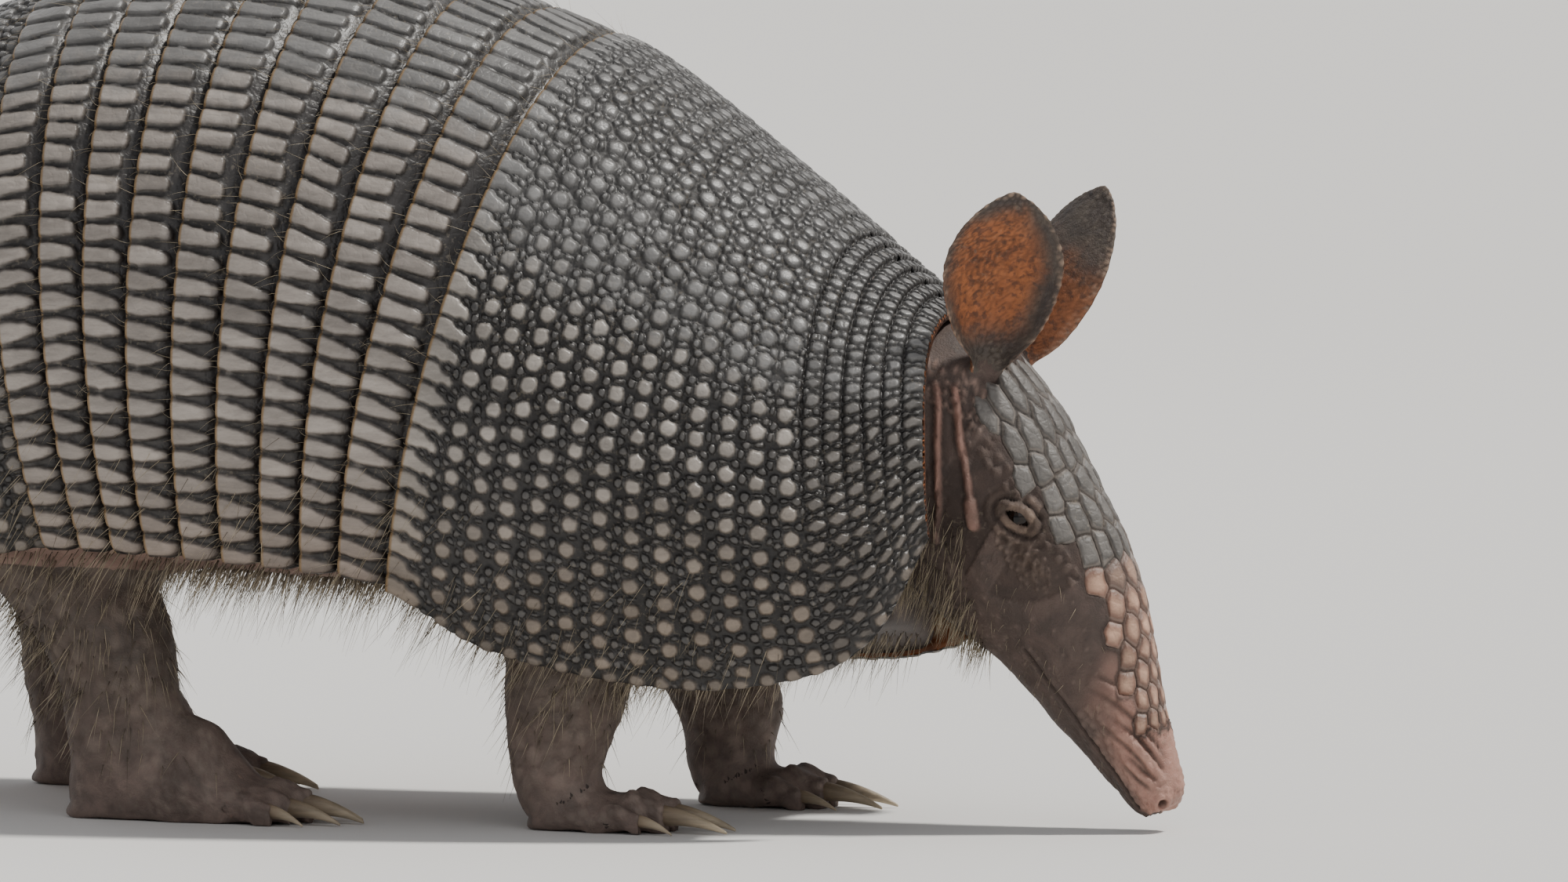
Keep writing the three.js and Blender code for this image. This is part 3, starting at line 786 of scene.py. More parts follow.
scapular_sheet = Sheet(FRONT_STATION, -0.016 + 0.09)
scapular_carver = shield_carver(scapular_sheet, 11, SLATS)
pelvic_sheet = Sheet(BANDS + 0.03, REAR_STATION)
pelvic_carver = shield_carver(pelvic_sheet, 23, 0, front_sink=1.9)
scapular_halves = []
pelvic_halves = []
for half, side in enumerate(("right", "left")):
    scapular_halves.append(plate_piece(f"scapular_plates_{side}", scapular_sheet, 215, 365,
                                       scapular_carver, lip_station=-0.05, half=half))
    pelvic_halves.append(plate_piece(f"pelvic_plates_{side}", pelvic_sheet, 210, 350,
                                     pelvic_carver, half=half))

# %% [markdown]
# ## The nine bands
#
# Each band is one row of long scutes. Seen from outside they are pale wedges with the wide end
# at the free rear edge, and dark triangles between them point the other way. One zigzag line
# makes both, so it is drawn by formula rather than with seeds. The front of each band dips, so
# that it can slide under the lip of the one before it.

# %% Carving a band
WEDGE_PITCH = 5.9
BAND_DIP = 2.6
BAND_INNER = 3.6
BAND_LIP = 0.13


def band_carver(sheet, seed):
    rng = np.random.default_rng(seed)
    count = round(sheet.width(0.6) / WEDGE_PITCH)
    tint = rng.uniform(0, 1, count + 2)
    skew = rng.uniform(-0.07, 0.07, count + 2)
    narrow = rng.uniform(0.16, 0.26, count + 2)
    short = rng.uniform(-0.05, 0.06, count + 2)

    def carve(d, a, station, angle, places):
        length = np.interp(a, np.linspace(0, 1, sheet.COLUMNS), sheet.column_length)
        column = a * count + 0.3 * value_noise(places, 16, seed) * d
        wedge = np.clip(np.floor(column).astype(int), 0, count)
        # The narrow front of a wedge leans towards the lower rim.
        lean = skew[wedge] + 0.12 * np.sign(a - 0.5)
        share = column - wedge - 0.5 - lean * (1 - d)
        high = ebb(math.radians(58), math.radians(86), np.abs(angle))
        back = ebb(math.radians(30), math.radians(62), np.abs(angle))
        # High on the flank the wedges are short rounded plates.
        first = mix(0.1, 0.34, high) - 0.13 * back + short[wedge]
        half = mix(mix(narrow[wedge], 0.4, high), 0.485, np.clip((d - first) / 0.6, 0, 1) ** 0.85)
        half = half - 0.06 * smoothstep(0.93, 1, d) + 0.035 * value_noise(places, 1.8, seed + 1)
        border = (half - np.abs(share)) * WEDGE_PITCH * 0.95
        rounded = 1.6 - np.hypot(np.maximum(1.6 - border, 0), np.maximum(1.6 - (d - first) * length, 0))
        border = np.where((d - first) * length < 1.6, rounded, border)
        seam = (0.5 - np.abs(column - wedge - 0.5)) * WEDGE_PITCH
        raised = dome(np.maximum(border, 0), 2.1)
        depth = 0.7 * (1 - raised) + 0.18 * bell(border, 0.3)
        depth += 0.2 * bell(seam, 0.35) * (d < 0.75)
        depth += BAND_DIP * ebb(0.0, mix(0.46, 0.33, back), d) + 0.3 * (1 - d)
        depth += 0.4 * ebb(0, 0.9, (1 - d) * length) ** 2
        rim = np.minimum(a, 1 - a) * sheet.width(0.5)
        depth += 0.5 * ebb(0, 1.0, rim) ** 2
        depth += 0.12 * value_noise(places, 2.6, seed + 2) + 0.12
        ripple = np.sin(column * 2 * np.pi * 4 + 2 * value_noise(places, 3, seed + 3))
        depth += 0.07 * np.maximum(back, 0.5 * (border < 0)) * ripple
        values = {
            "border": np.clip(border, -2, 2.5),
            "light": 1,
            # painted shade: the sunk front of the band, under the lip before it, is painted near black
            "sunk": ebb(mix(0.12, 0.05, back), mix(0.4, 0.26, back), d),
            "back": back,
            "tint": tint[wedge],
            "edge": (1 - d) * length,
        }
        return np.clip(depth, 0, BAND_INNER - 0.4), values

    return carve


bands = []
for band in range(1, BANDS + 1):
    band_sheet = Sheet(band - 1 + 0.03, band - 0.016 + BAND_LIP)
    carver = band_carver(band_sheet, 100 + band)
    bands.append(plate_piece(f"band_plates_{band}", band_sheet, 38, 520, carver,
                             lip_station=band - 0.06, inner_depth=BAND_INNER))

# %% [markdown]
# ## The head shield
#
# The crown wears a shield of flat horny polygons, longer than wide, that shrink towards the
# nose. It is a plate like the others, laid on the head's surface. Its outline is not a cut line:
# each outer scale ends in its own round edge. So the plate runs on a little past the last scales
# and dips under the skin there, and the skin hides the margin.

# %% Surface, seeds and carving of the head shield
HEAD_PLATE_FRONT, HEAD_PLATE_REAR = 17.0, 96.5
HEAD_PLATE_MARGIN = 0.09
PLATE_HALF_ANGLE = np.array([[0, 62], [25, 66], [55, 60], [80, 62], [101, 50]])
MARGIN_DEPTH = 1.6
# distance from the nose, width of a scale
HEAD_SCALE_PITCH = np.array([[8, 3.0], [25, 4.0], [45, 4.9], [70, 5.2], [100, 4.6]])
HEAD_SCALE_STRETCH = 1.45


def plate_half_angle(along):
    return np.radians(smooth_rows(PLATE_HALF_ANGLE, along)[..., 0])


def head_plate_point(along, share, depth=0.0):
    return head_point(along, share * plate_half_angle(along), -np.asarray(depth, float))


def plate_half_width(along):
    """Half of the plate's width in millimetres, measured round the head."""
    line = head_plate_point(np.asarray(along, float)[..., None], np.linspace(0, 1, 15))
    return np.linalg.norm(np.diff(line, axis=-2), axis=-1).sum(-1)


def head_scale_seeds(rng):
    """Flat places of scales in rows from the nose back, and whether each is a real scale.

    Places off the plate stand for the hide round it, so that the outer scales keep round edges.
    """
    flat, real = [], []
    place = HEAD_PLATE_FRONT - 2.0
    row = 0
    while place < HEAD_PLATE_REAR + 6:
        pitch = float(smooth_rows(HEAD_SCALE_PITCH, place)[0])
        width = float(plate_half_width(place)) * 0.97
        count = max(round(width / (pitch * 0.98)), 1)
        for k in range(-count - 2, count + 3):
            aside = (k + 0.5 * (row % 2)) / count * width
            flat.append((place + rng.uniform(-0.12, 0.12) * pitch,
                         aside + rng.uniform(-0.09, 0.09) * pitch))
            real.append(abs(aside) < width - 0.3 * pitch
                        and HEAD_PLATE_FRONT < place < HEAD_PLATE_REAR - 3)
        place += pitch * 0.87 * HEAD_SCALE_STRETCH * rng.uniform(0.94, 1.06)
        row += 1
    return np.array(flat), np.array(real)


head_sheet = Sheet(HEAD_PLATE_FRONT - 1.5, HEAD_PLATE_REAR + 1.5, 1 + HEAD_PLATE_MARGIN, head_plate_point)

head_rng = np.random.default_rng(5)
head_seeds, real_scale = head_scale_seeds(head_rng)
head_tint = head_rng.uniform(0, 1, len(head_seeds))
head_rosy = smoothstep(0, 1, (57 - head_seeds[:, 0] + 4 * head_rng.uniform(-1, 1, len(head_seeds))) / 7)
WIDTH_LINE = np.linspace(0, 110, 56)
half_width_line = plate_half_width(WIDTH_LINE)


def head_mosaic(along, share, places, owners):
    """The mosaic of the head's scales, on the plate or on the hide round it."""
    flatten = np.array([1 / HEAD_SCALE_STRETCH, 1, 0])
    seeds = np.column_stack([head_seeds, np.zeros(len(head_seeds))]) * flatten
    aside = share * np.interp(along, WIDTH_LINE, half_width_line)
    here = np.stack([along, aside, 0 * along], -1) * flatten
    wobble = np.stack([value_noise(places, 2.4, 60 + k) for k in range(2)] + [0 * along], -1) * 0.32
    return mosaic(here + wobble, seeds, np.zeros(len(seeds)), owners)


def carve_head_shield(down, across, along, share, places):
    border, mine, middle = head_mosaic(along, share, places, np.arange(len(head_seeds)))
    tint = head_tint[mine]
    pitch = smooth_rows(HEAD_SCALE_PITCH, head_seeds[:, 0])[:, 0][mine]
    corner = smoothstep(0.5, 0.62, middle / pitch)
    # The outer scales end in round edges of their own.
    rounding = (0.66 - middle / pitch) * pitch
    inside = real_scale[mine] & (rounding > 0)
    border = np.where(inside, np.minimum(border, rounding + 0.3), 0)
    swell = dome(border, 2.4)
    depth = 0.62 * (1 - swell) + 0.22 * bell(border, 0.22) + 0.12 * corner
    depth += 0.07 * value_noise(places, 0.8, 71) + 0.14 * value_noise(places, 2.6, 72) + 0.18
    depth += 0.16 * (tint - 0.5)
    depth = np.where(inside, depth, MARGIN_DEPTH)
    depth = np.maximum(depth, MARGIN_DEPTH * smoothstep(1.03, 1 + HEAD_PLATE_MARGIN, np.abs(share)))
    values = {
        "border": np.minimum(border, 2.5),
        "light": 1,
        "sunk": 0,
        "back": 1,
        "tint": tint,
        "rosy": head_rosy[mine],
        "edge": 9,
    }
    return depth, values


head_shield = plate_piece("head_shield_plates", head_sheet, 264, 176, carve_head_shield, inner_depth=2.0)

# %% [markdown]
# ## The ringed tail
#
# The tail is a cone sheathed in bony rings. Each ring slips into the one before it and carries
# two rows of scales; beyond the last ring the scales simply run on in rows to the tip. It could
# be modelled ring by ring, but as one long skin the rings cannot drift apart, and a profile that
# repeats along the tail makes each one stand out at its rear edge.

# %% Tail line and surface
# distance from the root, x, y, z, radius
TAIL_LINE = np.array([
    [0, -254, 0, 101, 16.5],
    [40, -288, 0, 80, 14.6],
    [90, -326, 1, 47.5, 12],
    [140, -366, 5, 19, 9.4],
    [180, -404, 12, 8.2, 7.6],
    [225, -448, 20, 5.6, 5.6],
    [270, -492, 22, 3.7, 3.7],
    [300, -521, 19, 2.2, 2.2],
])
TAIL_LENGTH = 300.0
TAIL_RINGS = 13


def tail_point(along, angle, depth=0.0):
    along, angle, depth = np.broadcast_arrays(np.asarray(along, float), angle, np.asarray(depth, float))
    table = smooth_rows(TAIL_LINE, along)
    back = smooth_rows(TAIL_LINE, along + 2)[..., :3] - smooth_rows(TAIL_LINE, along - 2)[..., :3]
    back = unit(back)
    side = -np.cross([0, 0, 1.0], back)
    side = unit(side)
    top = np.cross(side, back)
    radius = (table[..., 3] - depth)[..., None]
    place = table[..., :3] + radius * (top * np.cos(angle)[..., None] + side * np.sin(angle)[..., None])
    place[..., 2] = np.maximum(place[..., 2], 0.05)
    return place


# Ends of the rings: long ones at the root, short ones later, then plain rows of scales.
ring_lengths = np.linspace(14.5, 9.0, TAIL_RINGS)
ring_ends = np.r_[3.0, 3.0 + np.cumsum(ring_lengths)]
row_ends = []
while ring_ends[-1] + sum(row_ends) < TAIL_LENGTH - 2:
    row_ends.append(max(2.6, 6.0 - 0.018 * sum(row_ends)))
row_ends = ring_ends[-1] + np.cumsum(row_ends)
print("tail rings", TAIL_RINGS, "then rows", len(row_ends))


# %% Carving the tail
FIRST_ROW, SECOND_ROW = 0.42, 0.58
TAIL_START = 4.2
TAIL_ROWS, TAIL_COLUMNS = 520, 92


def tail_relief(along, angle, rng):
    """Depth and attributes of the tail's surface."""
    ends = np.r_[ring_ends, row_ends]
    ring = np.clip(np.searchsorted(ends, along, side="right") - 1, 0, len(ends) - 2)
    start, length = ends[ring], np.diff(ends)[ring]
    u = np.clip((along - start) / length, 0, 1)
    sheath = ring < TAIL_RINGS
    radius = smooth_rows(TAIL_LINE, along)[..., 3]
    # Two rows of scales on a sheath, one on a plain row.
    second = sheath & (u > FIRST_ROW)
    row = ring * 2 + second
    row_length = np.where(sheath, length * np.where(second, SECOND_ROW, FIRST_ROW), length)
    v = np.where(sheath, np.where(second, (u - FIRST_ROW) / SECOND_ROW, u / FIRST_ROW), u)
    middle_radius = smooth_rows(TAIL_LINE, start + length / 2)[..., 3]
    pitch = np.where(sheath, np.where(second, 5.4, 3.6), 3.9)
    count = np.maximum(np.round(2 * np.pi * middle_radius / pitch), 6)
    column = (angle / (2 * np.pi) + 0.5) * count + 0.5 * (row % 2)
    cell = np.floor(column)
    share = column - cell - 0.5
    width = 2 * np.pi * radius / count
    half = 0.5 - 0.1 * ebb(0, 0.35, v) - 0.07 * smoothstep(0.8, 1, v)
    border = np.minimum((half - np.abs(share)) * width, np.minimum(v, 1 - v + 0.06) * row_length)
    inside = smoothstep(0, 0.5, border)
    keel = bell(share, 0.16) * smoothstep(0.1, 0.7, v)
    lift = np.where(sheath, 1.15, 0.55) * np.where(sheath, u, v) ** 1.2
    scale_of = np.clip(radius / 12, 0.3, 1)
    depth = (0.4 * (1 - inside) - 0.28 * keel * inside + 1.25 - lift) * scale_of
    tints = rng.uniform(0, 1, 4096)
    tint = tints[(row * 61 + cell.astype(int) * 7) % 4096]
    values = {
        "border": np.clip(border, 0, 2.5),
        "light": np.where(second | ~sheath, 0.75, 0.25) * smoothstep(0.15, 0.7, v),
        "sunk": 0,
        "back": 0.35,
        "tint": tint,
        "edge": np.where(sheath, (1 - u) * length, 9.0),
    }
    return depth, values


tail_along = np.linspace(TAIL_START, TAIL_LENGTH, TAIL_ROWS)[:, None]
tail_angle = -np.pi + np.arange(TAIL_COLUMNS)[None] * 2 * np.pi / TAIL_COLUMNS
tail_along, tail_angle = np.broadcast_arrays(tail_along, tail_angle)
tail_depth, tail_values = tail_relief(tail_along, tail_angle, np.random.default_rng(31))
tail_places = tail_point(tail_along, tail_angle, np.maximum(tail_depth, 0))
root_centre = smooth_rows(TAIL_LINE, TAIL_START)[:3]
tip_centre = smooth_rows(TAIL_LINE, TAIL_LENGTH)[:3] + [-1.6, -0.2, 0]
tip_centre[2] = max(tip_centre[2], 1.0)


def solid_faces(rows, columns, places):
    """Faces of a closed tube with a centre place at each end, turned to point outwards."""
    quads = grid_faces(rows, columns, closed=True)
    count = rows * columns
    here = np.arange(columns)
    ahead = (here + 1) % columns
    last = count - columns
    caps = np.vstack([np.stack([ahead, here, np.full(columns, count)], -1),
                      np.stack([last + here, last + ahead, np.full(columns, count + 1)], -1)])
    triangles = np.vstack([caps, quads[:, [0, 1, 2]], quads[:, [0, 2, 3]]])
    a, b, c = (places[triangles[:, k]] for k in range(3))
    if np.einsum("ij,ij->i", np.cross(a, b), c).sum() < 0:
        return quads[:, ::-1], caps[:, ::-1]
    return quads, caps


def tube_piece(name, grids, layers, corner=(0.01, 0.01), size=(0.98, 0.98), ends=None):
    """Closed tubes from rings of places, as one piece; each tube has its own patch of the unwrap."""
    across = math.ceil(math.sqrt(len(grids)))
    step = np.array(size) / across
    patch = 0.94 * step
    places, groups, first = [], [], 0
    for number, grid in enumerate(grids):
        rows, columns = grid.shape[:2]
        own = np.vstack([grid.reshape(-1, 3), *(ends or (grid[0].mean(0), grid[-1].mean(0)))])
        quads, caps = solid_faces(rows, columns, own)
        low = corner + step * divmod(number, across)
        u, v = np.meshgrid(np.arange(columns) / columns, np.linspace(0.03, 0.97, rows))
        uv = low + patch * np.vstack([np.stack([u, v], -1).reshape(-1, 2), [[0.5, 0], [0.5, 1]]])
        uv = np.vstack([np.zeros((first, 2)), uv])
        wrapped = uv.copy()
        wrapped[first:first + rows * columns:columns, 0] = low[0] + patch[0]
        seam = np.arange(len(quads)) % columns == columns - 1
        groups += [(quads[~seam] + first, uv), (quads[seam] + first, wrapped), (caps + first, uv)]
        places.append(own)
        first += len(own)
    return make_piece(name, np.vstack(places), groups, layers)


def with_ends(values, shape):
    """Layers of a tube's grid, carried on to its two end centres."""
    grids = {layer: np.broadcast_to(grid, shape).ravel() for layer, grid in values.items()}
    return {layer: np.r_[line, line[[0, -1]]] for layer, line in grids.items()}


tail = tube_piece("tail_rings", [tail_places], with_ends(tail_values, tail_depth.shape),
                  ends=(root_centre, tip_centre))

# %% [markdown]
# ## One skin for all that is soft
#
# Head, neck, belly, ears and legs wear a single hide, and no seam may show on it. Each of them
# is first a closed tube that is simple to describe. The folds that belong to a tube are pushed
# out while it still has its tidy grid. Then one boolean union melts all the tubes together, and
# the creases where they meet are relaxed, as skin bridges a corner.

# %% Tools for lines and bumps on the skin
def line_on_head(points, side, steps=60):
    """Places along a line given as distance from the nose and degrees from the crown."""
    table = np.array(points, float)
    along = np.interp(np.linspace(0, 1, steps), np.linspace(0, 1, len(table)), table[:, 0])
    degrees = np.interp(np.linspace(0, 1, steps), np.linspace(0, 1, len(table)), table[:, 1])
    return head_point(along, np.radians(degrees) * side)


def distance_to_line(places, line):
    """Distance of each place to a dotted line, and how far along the line its foot is, 0..1."""
    flat = places.reshape(-1, 3)
    low, high = line.min(0) - 8, line.max(0) + 8
    near = np.all((flat > low) & (flat < high), axis=1)
    distance = np.full(len(flat), 99.0)
    share = np.zeros(len(flat))
    gaps = np.linalg.norm(flat[near][:, None] - line[None], axis=-1)
    foot = gaps.argmin(1)
    distance[near] = gaps[np.arange(len(foot)), foot]
    share[near] = foot / (len(line) - 1)
    return distance.reshape(places.shape[:-1]), share.reshape(places.shape[:-1])


def roll(distance, width):
    """Cross-section of a rounded fold: 1 on its line, 0 beyond its width."""
    return np.sqrt(np.clip(1 - (distance / width) ** 2, 0, 1))


# %% The tube from the nose over the neck to the rump
SKIN_SECTORS = 200
degrees_line = np.linspace(-180, 180, 721)
crowding = np.interp(np.abs(degrees_line), [0, 42, 55, 112, 135, 180], [0.4, 0.45, 1.5, 1.5, 0.9, 0.7])
filled = np.r_[0, np.cumsum((crowding[1:] + crowding[:-1]) / 2)]
sector_share = np.arange(SKIN_SECTORS) / SKIN_SECTORS
SECTOR_ANGLES = np.radians(np.interp(sector_share * filled[-1], filled, degrees_line))

NOSE_DISC = np.array([0.1, 0.25, 0.4, 0.55, 0.68, 0.8, 0.9, 0.97])
HEAD_ALONG = np.concatenate([
    np.linspace(0, 6, 16),
    np.arange(6.45, 64, 0.6),
    np.arange(64, 82, 0.42),
    np.arange(82, 104, 0.55),
    np.arange(104.2, 112.1, 1.2),
])
NECK_STEPS = 10
TRUNK_FRONT = -4.6
TRUNK_STATIONS = np.r_[np.linspace(TRUNK_FRONT, 0, 9), np.linspace(1, 15.8, 17)]
TRUNK_DEPTH = 3.9

disc_rings = len(NOSE_DISC)
blend_line = (np.arange(NECK_STEPS) + 1) / (NECK_STEPS + 1)
ring_along = np.r_[np.zeros(disc_rings), HEAD_ALONG, mix(HEAD_ALONG[-1], 134, blend_line),
                   np.full(len(TRUNK_STATIONS), 134)]
ring_radius = np.r_[NOSE_DISC, np.ones(len(ring_along) - disc_rings)]
ring_station = np.r_[np.full(disc_rings + len(HEAD_ALONG), -6.6), mix(-6.6, TRUNK_FRONT, blend_line),
                     TRUNK_STATIONS]
ring_blend = np.r_[np.zeros(disc_rings + len(HEAD_ALONG)), smoothstep(0, 1, blend_line),
                   np.ones(len(TRUNK_STATIONS))]
tube_along, tube_angle = np.meshgrid(ring_along, SECTOR_ANGLES, indexing="ij")
tube_station = np.repeat(ring_station[:, None], SKIN_SECTORS, 1)
head_part = head_point(tube_along, tube_angle)
nose_centre = head_point(0.0, 0.0) * 0.5 + head_point(0.0, np.pi) * 0.5
head_part = np.where(ring_radius[:, None, None] < 1,
                     nose_centre + (head_part - nose_centre) * ring_radius[:, None, None], head_part)
trunk_part = trunk_point(tube_station, tube_angle, TRUNK_DEPTH)
body = mix(head_part, trunk_part, ring_blend[:, None, None])
wrapped = np.concatenate([body[:, -1:], body, body[:, :1]], 1)
body_normals = grid_normals(wrapped)[:, 1:-1]
on_head = ring_blend[:, None] < 0.5
print("skin tube rings", len(ring_along), "by", SKIN_SECTORS)

# %% [markdown]
# ### Lids, folds and wrinkles
#
# The eye is small and deep. A thick upper lid rolls over it, and creased skin gathers under it.
# Two beaded folds of bare skin run down behind the cheek, where the head turns on the neck. On
# the snout the hide slides over the bone in slanting folds. Each is a line on the head with a
# width and a height; small noise on top keeps them from looking turned on a lathe.

# %% Places of the folds, as distance from the nose and degrees from the crown
FOLDS = [
    {"line": [(101.5, 50), (96, 72), (89, 94), (83, 113)], "width": 1.0, "height": 1.3, "beads": 10},
    {"line": [(99, 48), (92, 67), (85.6, 79.5), (79.6, 89.5)], "width": 1.05, "height": 1.45, "beads": 7},
    {"line": [(82.6, 84.5), (78.6, 91)], "width": 1.75, "height": 2.0, "knob": True},
    {"line": [(33, 82), (28, 66), (22, 50), (15, 34)], "width": 1.5, "height": 0.75},
    {"line": [(25, 92), (18.5, 76), (12.5, 62), (6.5, 52)], "width": 1.3, "height": 0.7},
    {"line": [(20, 62), (15, 50), (10, 40)], "width": 1.0, "height": 0.45},
    {"line": [(14, 92), (9, 80), (5.5, 66)], "width": 1.0, "height": 0.45},
]
MOUTH_LINE = [(2.8, 122), (6.5, 119), (26, 119), (47, 121)]
EYE_PLACE = (73.2, 70.5)
LID_HALF_LENGTH = 3.4
LID_HALF_HEIGHT = 0.85
LID_TILT = math.radians(20)
LID_ROLL = 1.25
NOSTRIL_PLACE = (0.9, 62)

broad = value_noise(body, 5, 43)
knobs = value_noise(body, 1.4, 45)


def relief_of_head(side):
    """Height, rosiness and creases that one half of the head adds to the skin tube."""
    height, rosy, crease = np.zeros((3, *body.shape[:2]))
    for fold in FOLDS:
        width = fold["width"]
        distance, share = distance_to_line(body, line_on_head(fold["line"], side))
        lump = roll(distance, width)
        if "knob" in fold:
            height = np.maximum(height, fold["height"] * lump)
            rosy = np.maximum(rosy, lump)
            continue
        if "beads" in fold:
            taper = smoothstep(0, 0.06, share) * (1 - 0.55 * smoothstep(0.75, 1, share))
            beads = 0.5 + 0.5 * np.abs(np.sin(np.pi * share * fold["beads"] + 0.8 * broad)) ** 0.5
            beads = beads * (1 + 0.3 * knobs)
            rosy = np.maximum(rosy, 0.8 * lump * taper)
            crease = np.maximum(crease, lump * (beads < 0.68))
            lump = roll(distance, width * (1 + 0.15 * knobs)) * beads
        else:
            taper = np.sin(np.pi * np.clip(share * 0.96 + 0.02, 0, 1)) ** 0.5
        valley = bell(distance - width * 1.3, 0.6) * taper
        height += fold["height"] * lump * taper
        height -= (0.7 if "beads" in fold else 0.45) * valley
        crease = np.maximum(crease, valley)

    distance, _ = distance_to_line(body, line_on_head(MOUTH_LINE, side, 120))
    lips = bell(distance, 0.55)
    height += 0.4 * roll(distance, 2.0) - 1.3 * lips
    crease = np.maximum(crease, lips)

    nostril = head_point(NOSTRIL_PLACE[0], math.radians(NOSTRIL_PLACE[1]) * side)
    distance = np.linalg.norm(body - nostril, axis=-1)
    height += 0.35 * bell(distance - 1.9, 0.6) - 1.9 * ebb(0.5, 1.35, distance)
    return height, rosy, np.maximum(crease, ebb(0.9, 1.6, distance))


# %% The eye's surroundings
def relief_of_eye(side):
    """An almond opening between two rolled lids, with the skin gathered in lumps below it."""
    surface = head_point(EYE_PLACE[0], math.radians(EYE_PLACE[1]) * side)
    back = head_point(EYE_PLACE[0] + 1, math.radians(EYE_PLACE[1]) * side) - surface
    nose_way = -back / np.linalg.norm(back)
    outward = surface - EYE_CENTRE * [1, side, 1]
    outward /= np.linalg.norm(outward)
    crown_way = -np.cross(outward, nose_way) * side
    crown_way /= np.linalg.norm(crown_way)
    offset = body - surface
    a, b = offset @ nose_way, offset @ crown_way
    x = a * math.cos(LID_TILT) + b * math.sin(LID_TILT)
    y = b * math.cos(LID_TILT) - a * math.sin(LID_TILT)
    near = np.linalg.norm(offset, axis=-1) < 20
    span = np.clip(1 - (x / LID_HALF_LENGTH) ** 2, 0, 1)
    beyond = np.maximum(np.abs(x) - LID_HALF_LENGTH, 0)
    half = LID_HALF_HEIGHT * span * np.where(y > 0, 1.1, 0.8)
    gap = np.hypot(np.maximum(np.abs(y) - half, 0), beyond)
    depth_in = np.where(beyond > 0, 0, half - np.abs(y))
    upper = smoothstep(-1.2, 1.0, y + 0.35 * np.maximum(x, 0))
    creases = np.abs(value_noise(body, 1.0, 90))
    rolls = roll(gap - LID_ROLL, LID_ROLL * mix(0.95, 1.15, upper))
    height = rolls * mix(1.0, 2.0, upper) * (1 - 0.42 * creases)
    outer_roll = roll(gap - 4.0, 1.1) * (0.55 + 0.3 * value_noise(body, 3.0, 94))
    height += outer_roll * mix(0.75, 0.35, upper) * (1 - 0.4 * creases)
    valley = bell(gap - 2.75, 0.42) + 0.5 * bell(gap - 5.3, 0.5)
    height -= 0.8 * valley
    height -= 4.2 * smoothstep(-0.12, 0.55, depth_in) + 0.4 * (gap <= 0)
    # Lumps of creased skin gathered below and in front of the eye.
    bag = np.exp(-(((a - 10) / 6.5) ** 2 + ((b + 4.3) / 3.6) ** 2) * 1.2)
    bag = np.maximum(bag, 0.8 * np.exp(-(((a - 3.5) / 3.5) ** 2 + ((b + 5.0) / 2.0) ** 2)))
    lumps = 1 - 2.4 * np.abs(value_noise(body, 2.1, 91 + int(side)))
    height += bag * (1.35 * np.clip(lumps, -0.2, 1) + 0.2)
    # Painted shade: the eye opening and the valleys round the lids are darkened.
    crease = np.maximum(np.clip(valley, 0, 1), smoothstep(-0.25, 0.1, depth_in))
    crease = np.maximum(crease, 0.9 * bag * np.clip(0.35 - lumps, 0, 1) * 2)
    lid = np.clip(rolls + 0.6 * outer_roll, 0, 1)
    return height * near, crease * near, lid * near, bag * near

# %% Small scales, wrinkles and tubercles of the head
UNDER_PLATE_SINK = 2.5


def granules(places, chosen, width, power=1.0):
    """Domes round chosen places: their height share, the owner, and the distance to the border."""
    border, mine, middle = mosaic(places, chosen, np.zeros(len(chosen)), np.arange(len(chosen)), 4)
    return np.clip(1 - (middle / width) ** 2, 0, 1) ** power, mine, border


relief, rosy, crease, lid_mask, bag_mask, pale = np.zeros((6, *body.shape[:2]))
for side in (-1, 1):
    half = (np.sign(tube_angle + 1e-9) == side) & on_head
    height, rose, dark = relief_of_head(side)
    eye_height, eye_dark, lid, bag = relief_of_eye(side)
    relief += height * half
    relief += eye_height
    rosy = np.maximum(rosy, rose * half)
    crease = np.maximum(crease, np.maximum(dark * half, eye_dark))
    lid_mask = np.maximum(lid_mask, lid)
    bag_mask = np.maximum(bag_mask, bag)

turned = np.abs(np.degrees(tube_angle))
cheek = smoothstep(60, 78, turned) * smoothstep(26, 40, tube_along) * ebb(88, 97, tube_along)
neck_zone = smoothstep(86, 96, tube_along) * on_head
snout_zone = ebb(20, 34, tube_along) * on_head
calm = 1 - np.clip(lid_mask * 1.3, 0, 1)
still = calm * (1 - bag_mask)

# Wrinkles: slack lines across the neck, fine creases on cheek and snout.
stretched = body * [1.0, 0.35, 0.35]
slack = 1 - np.abs(value_noise(stretched, 1.6, 41)) * 1.6
fine = 1 - np.abs(value_noise(body, 1.1, 42)) * 1.7
relief += still * (0.34 * slack * neck_zone + 0.2 * fine * snout_zone + 0.13 * fine * cheek
                   + 0.3 * broad * on_head)
crease = np.maximum(crease, 0.6 * np.clip(-fine, 0, 1) * np.maximum(snout_zone, 0.7 * cheek) * on_head)

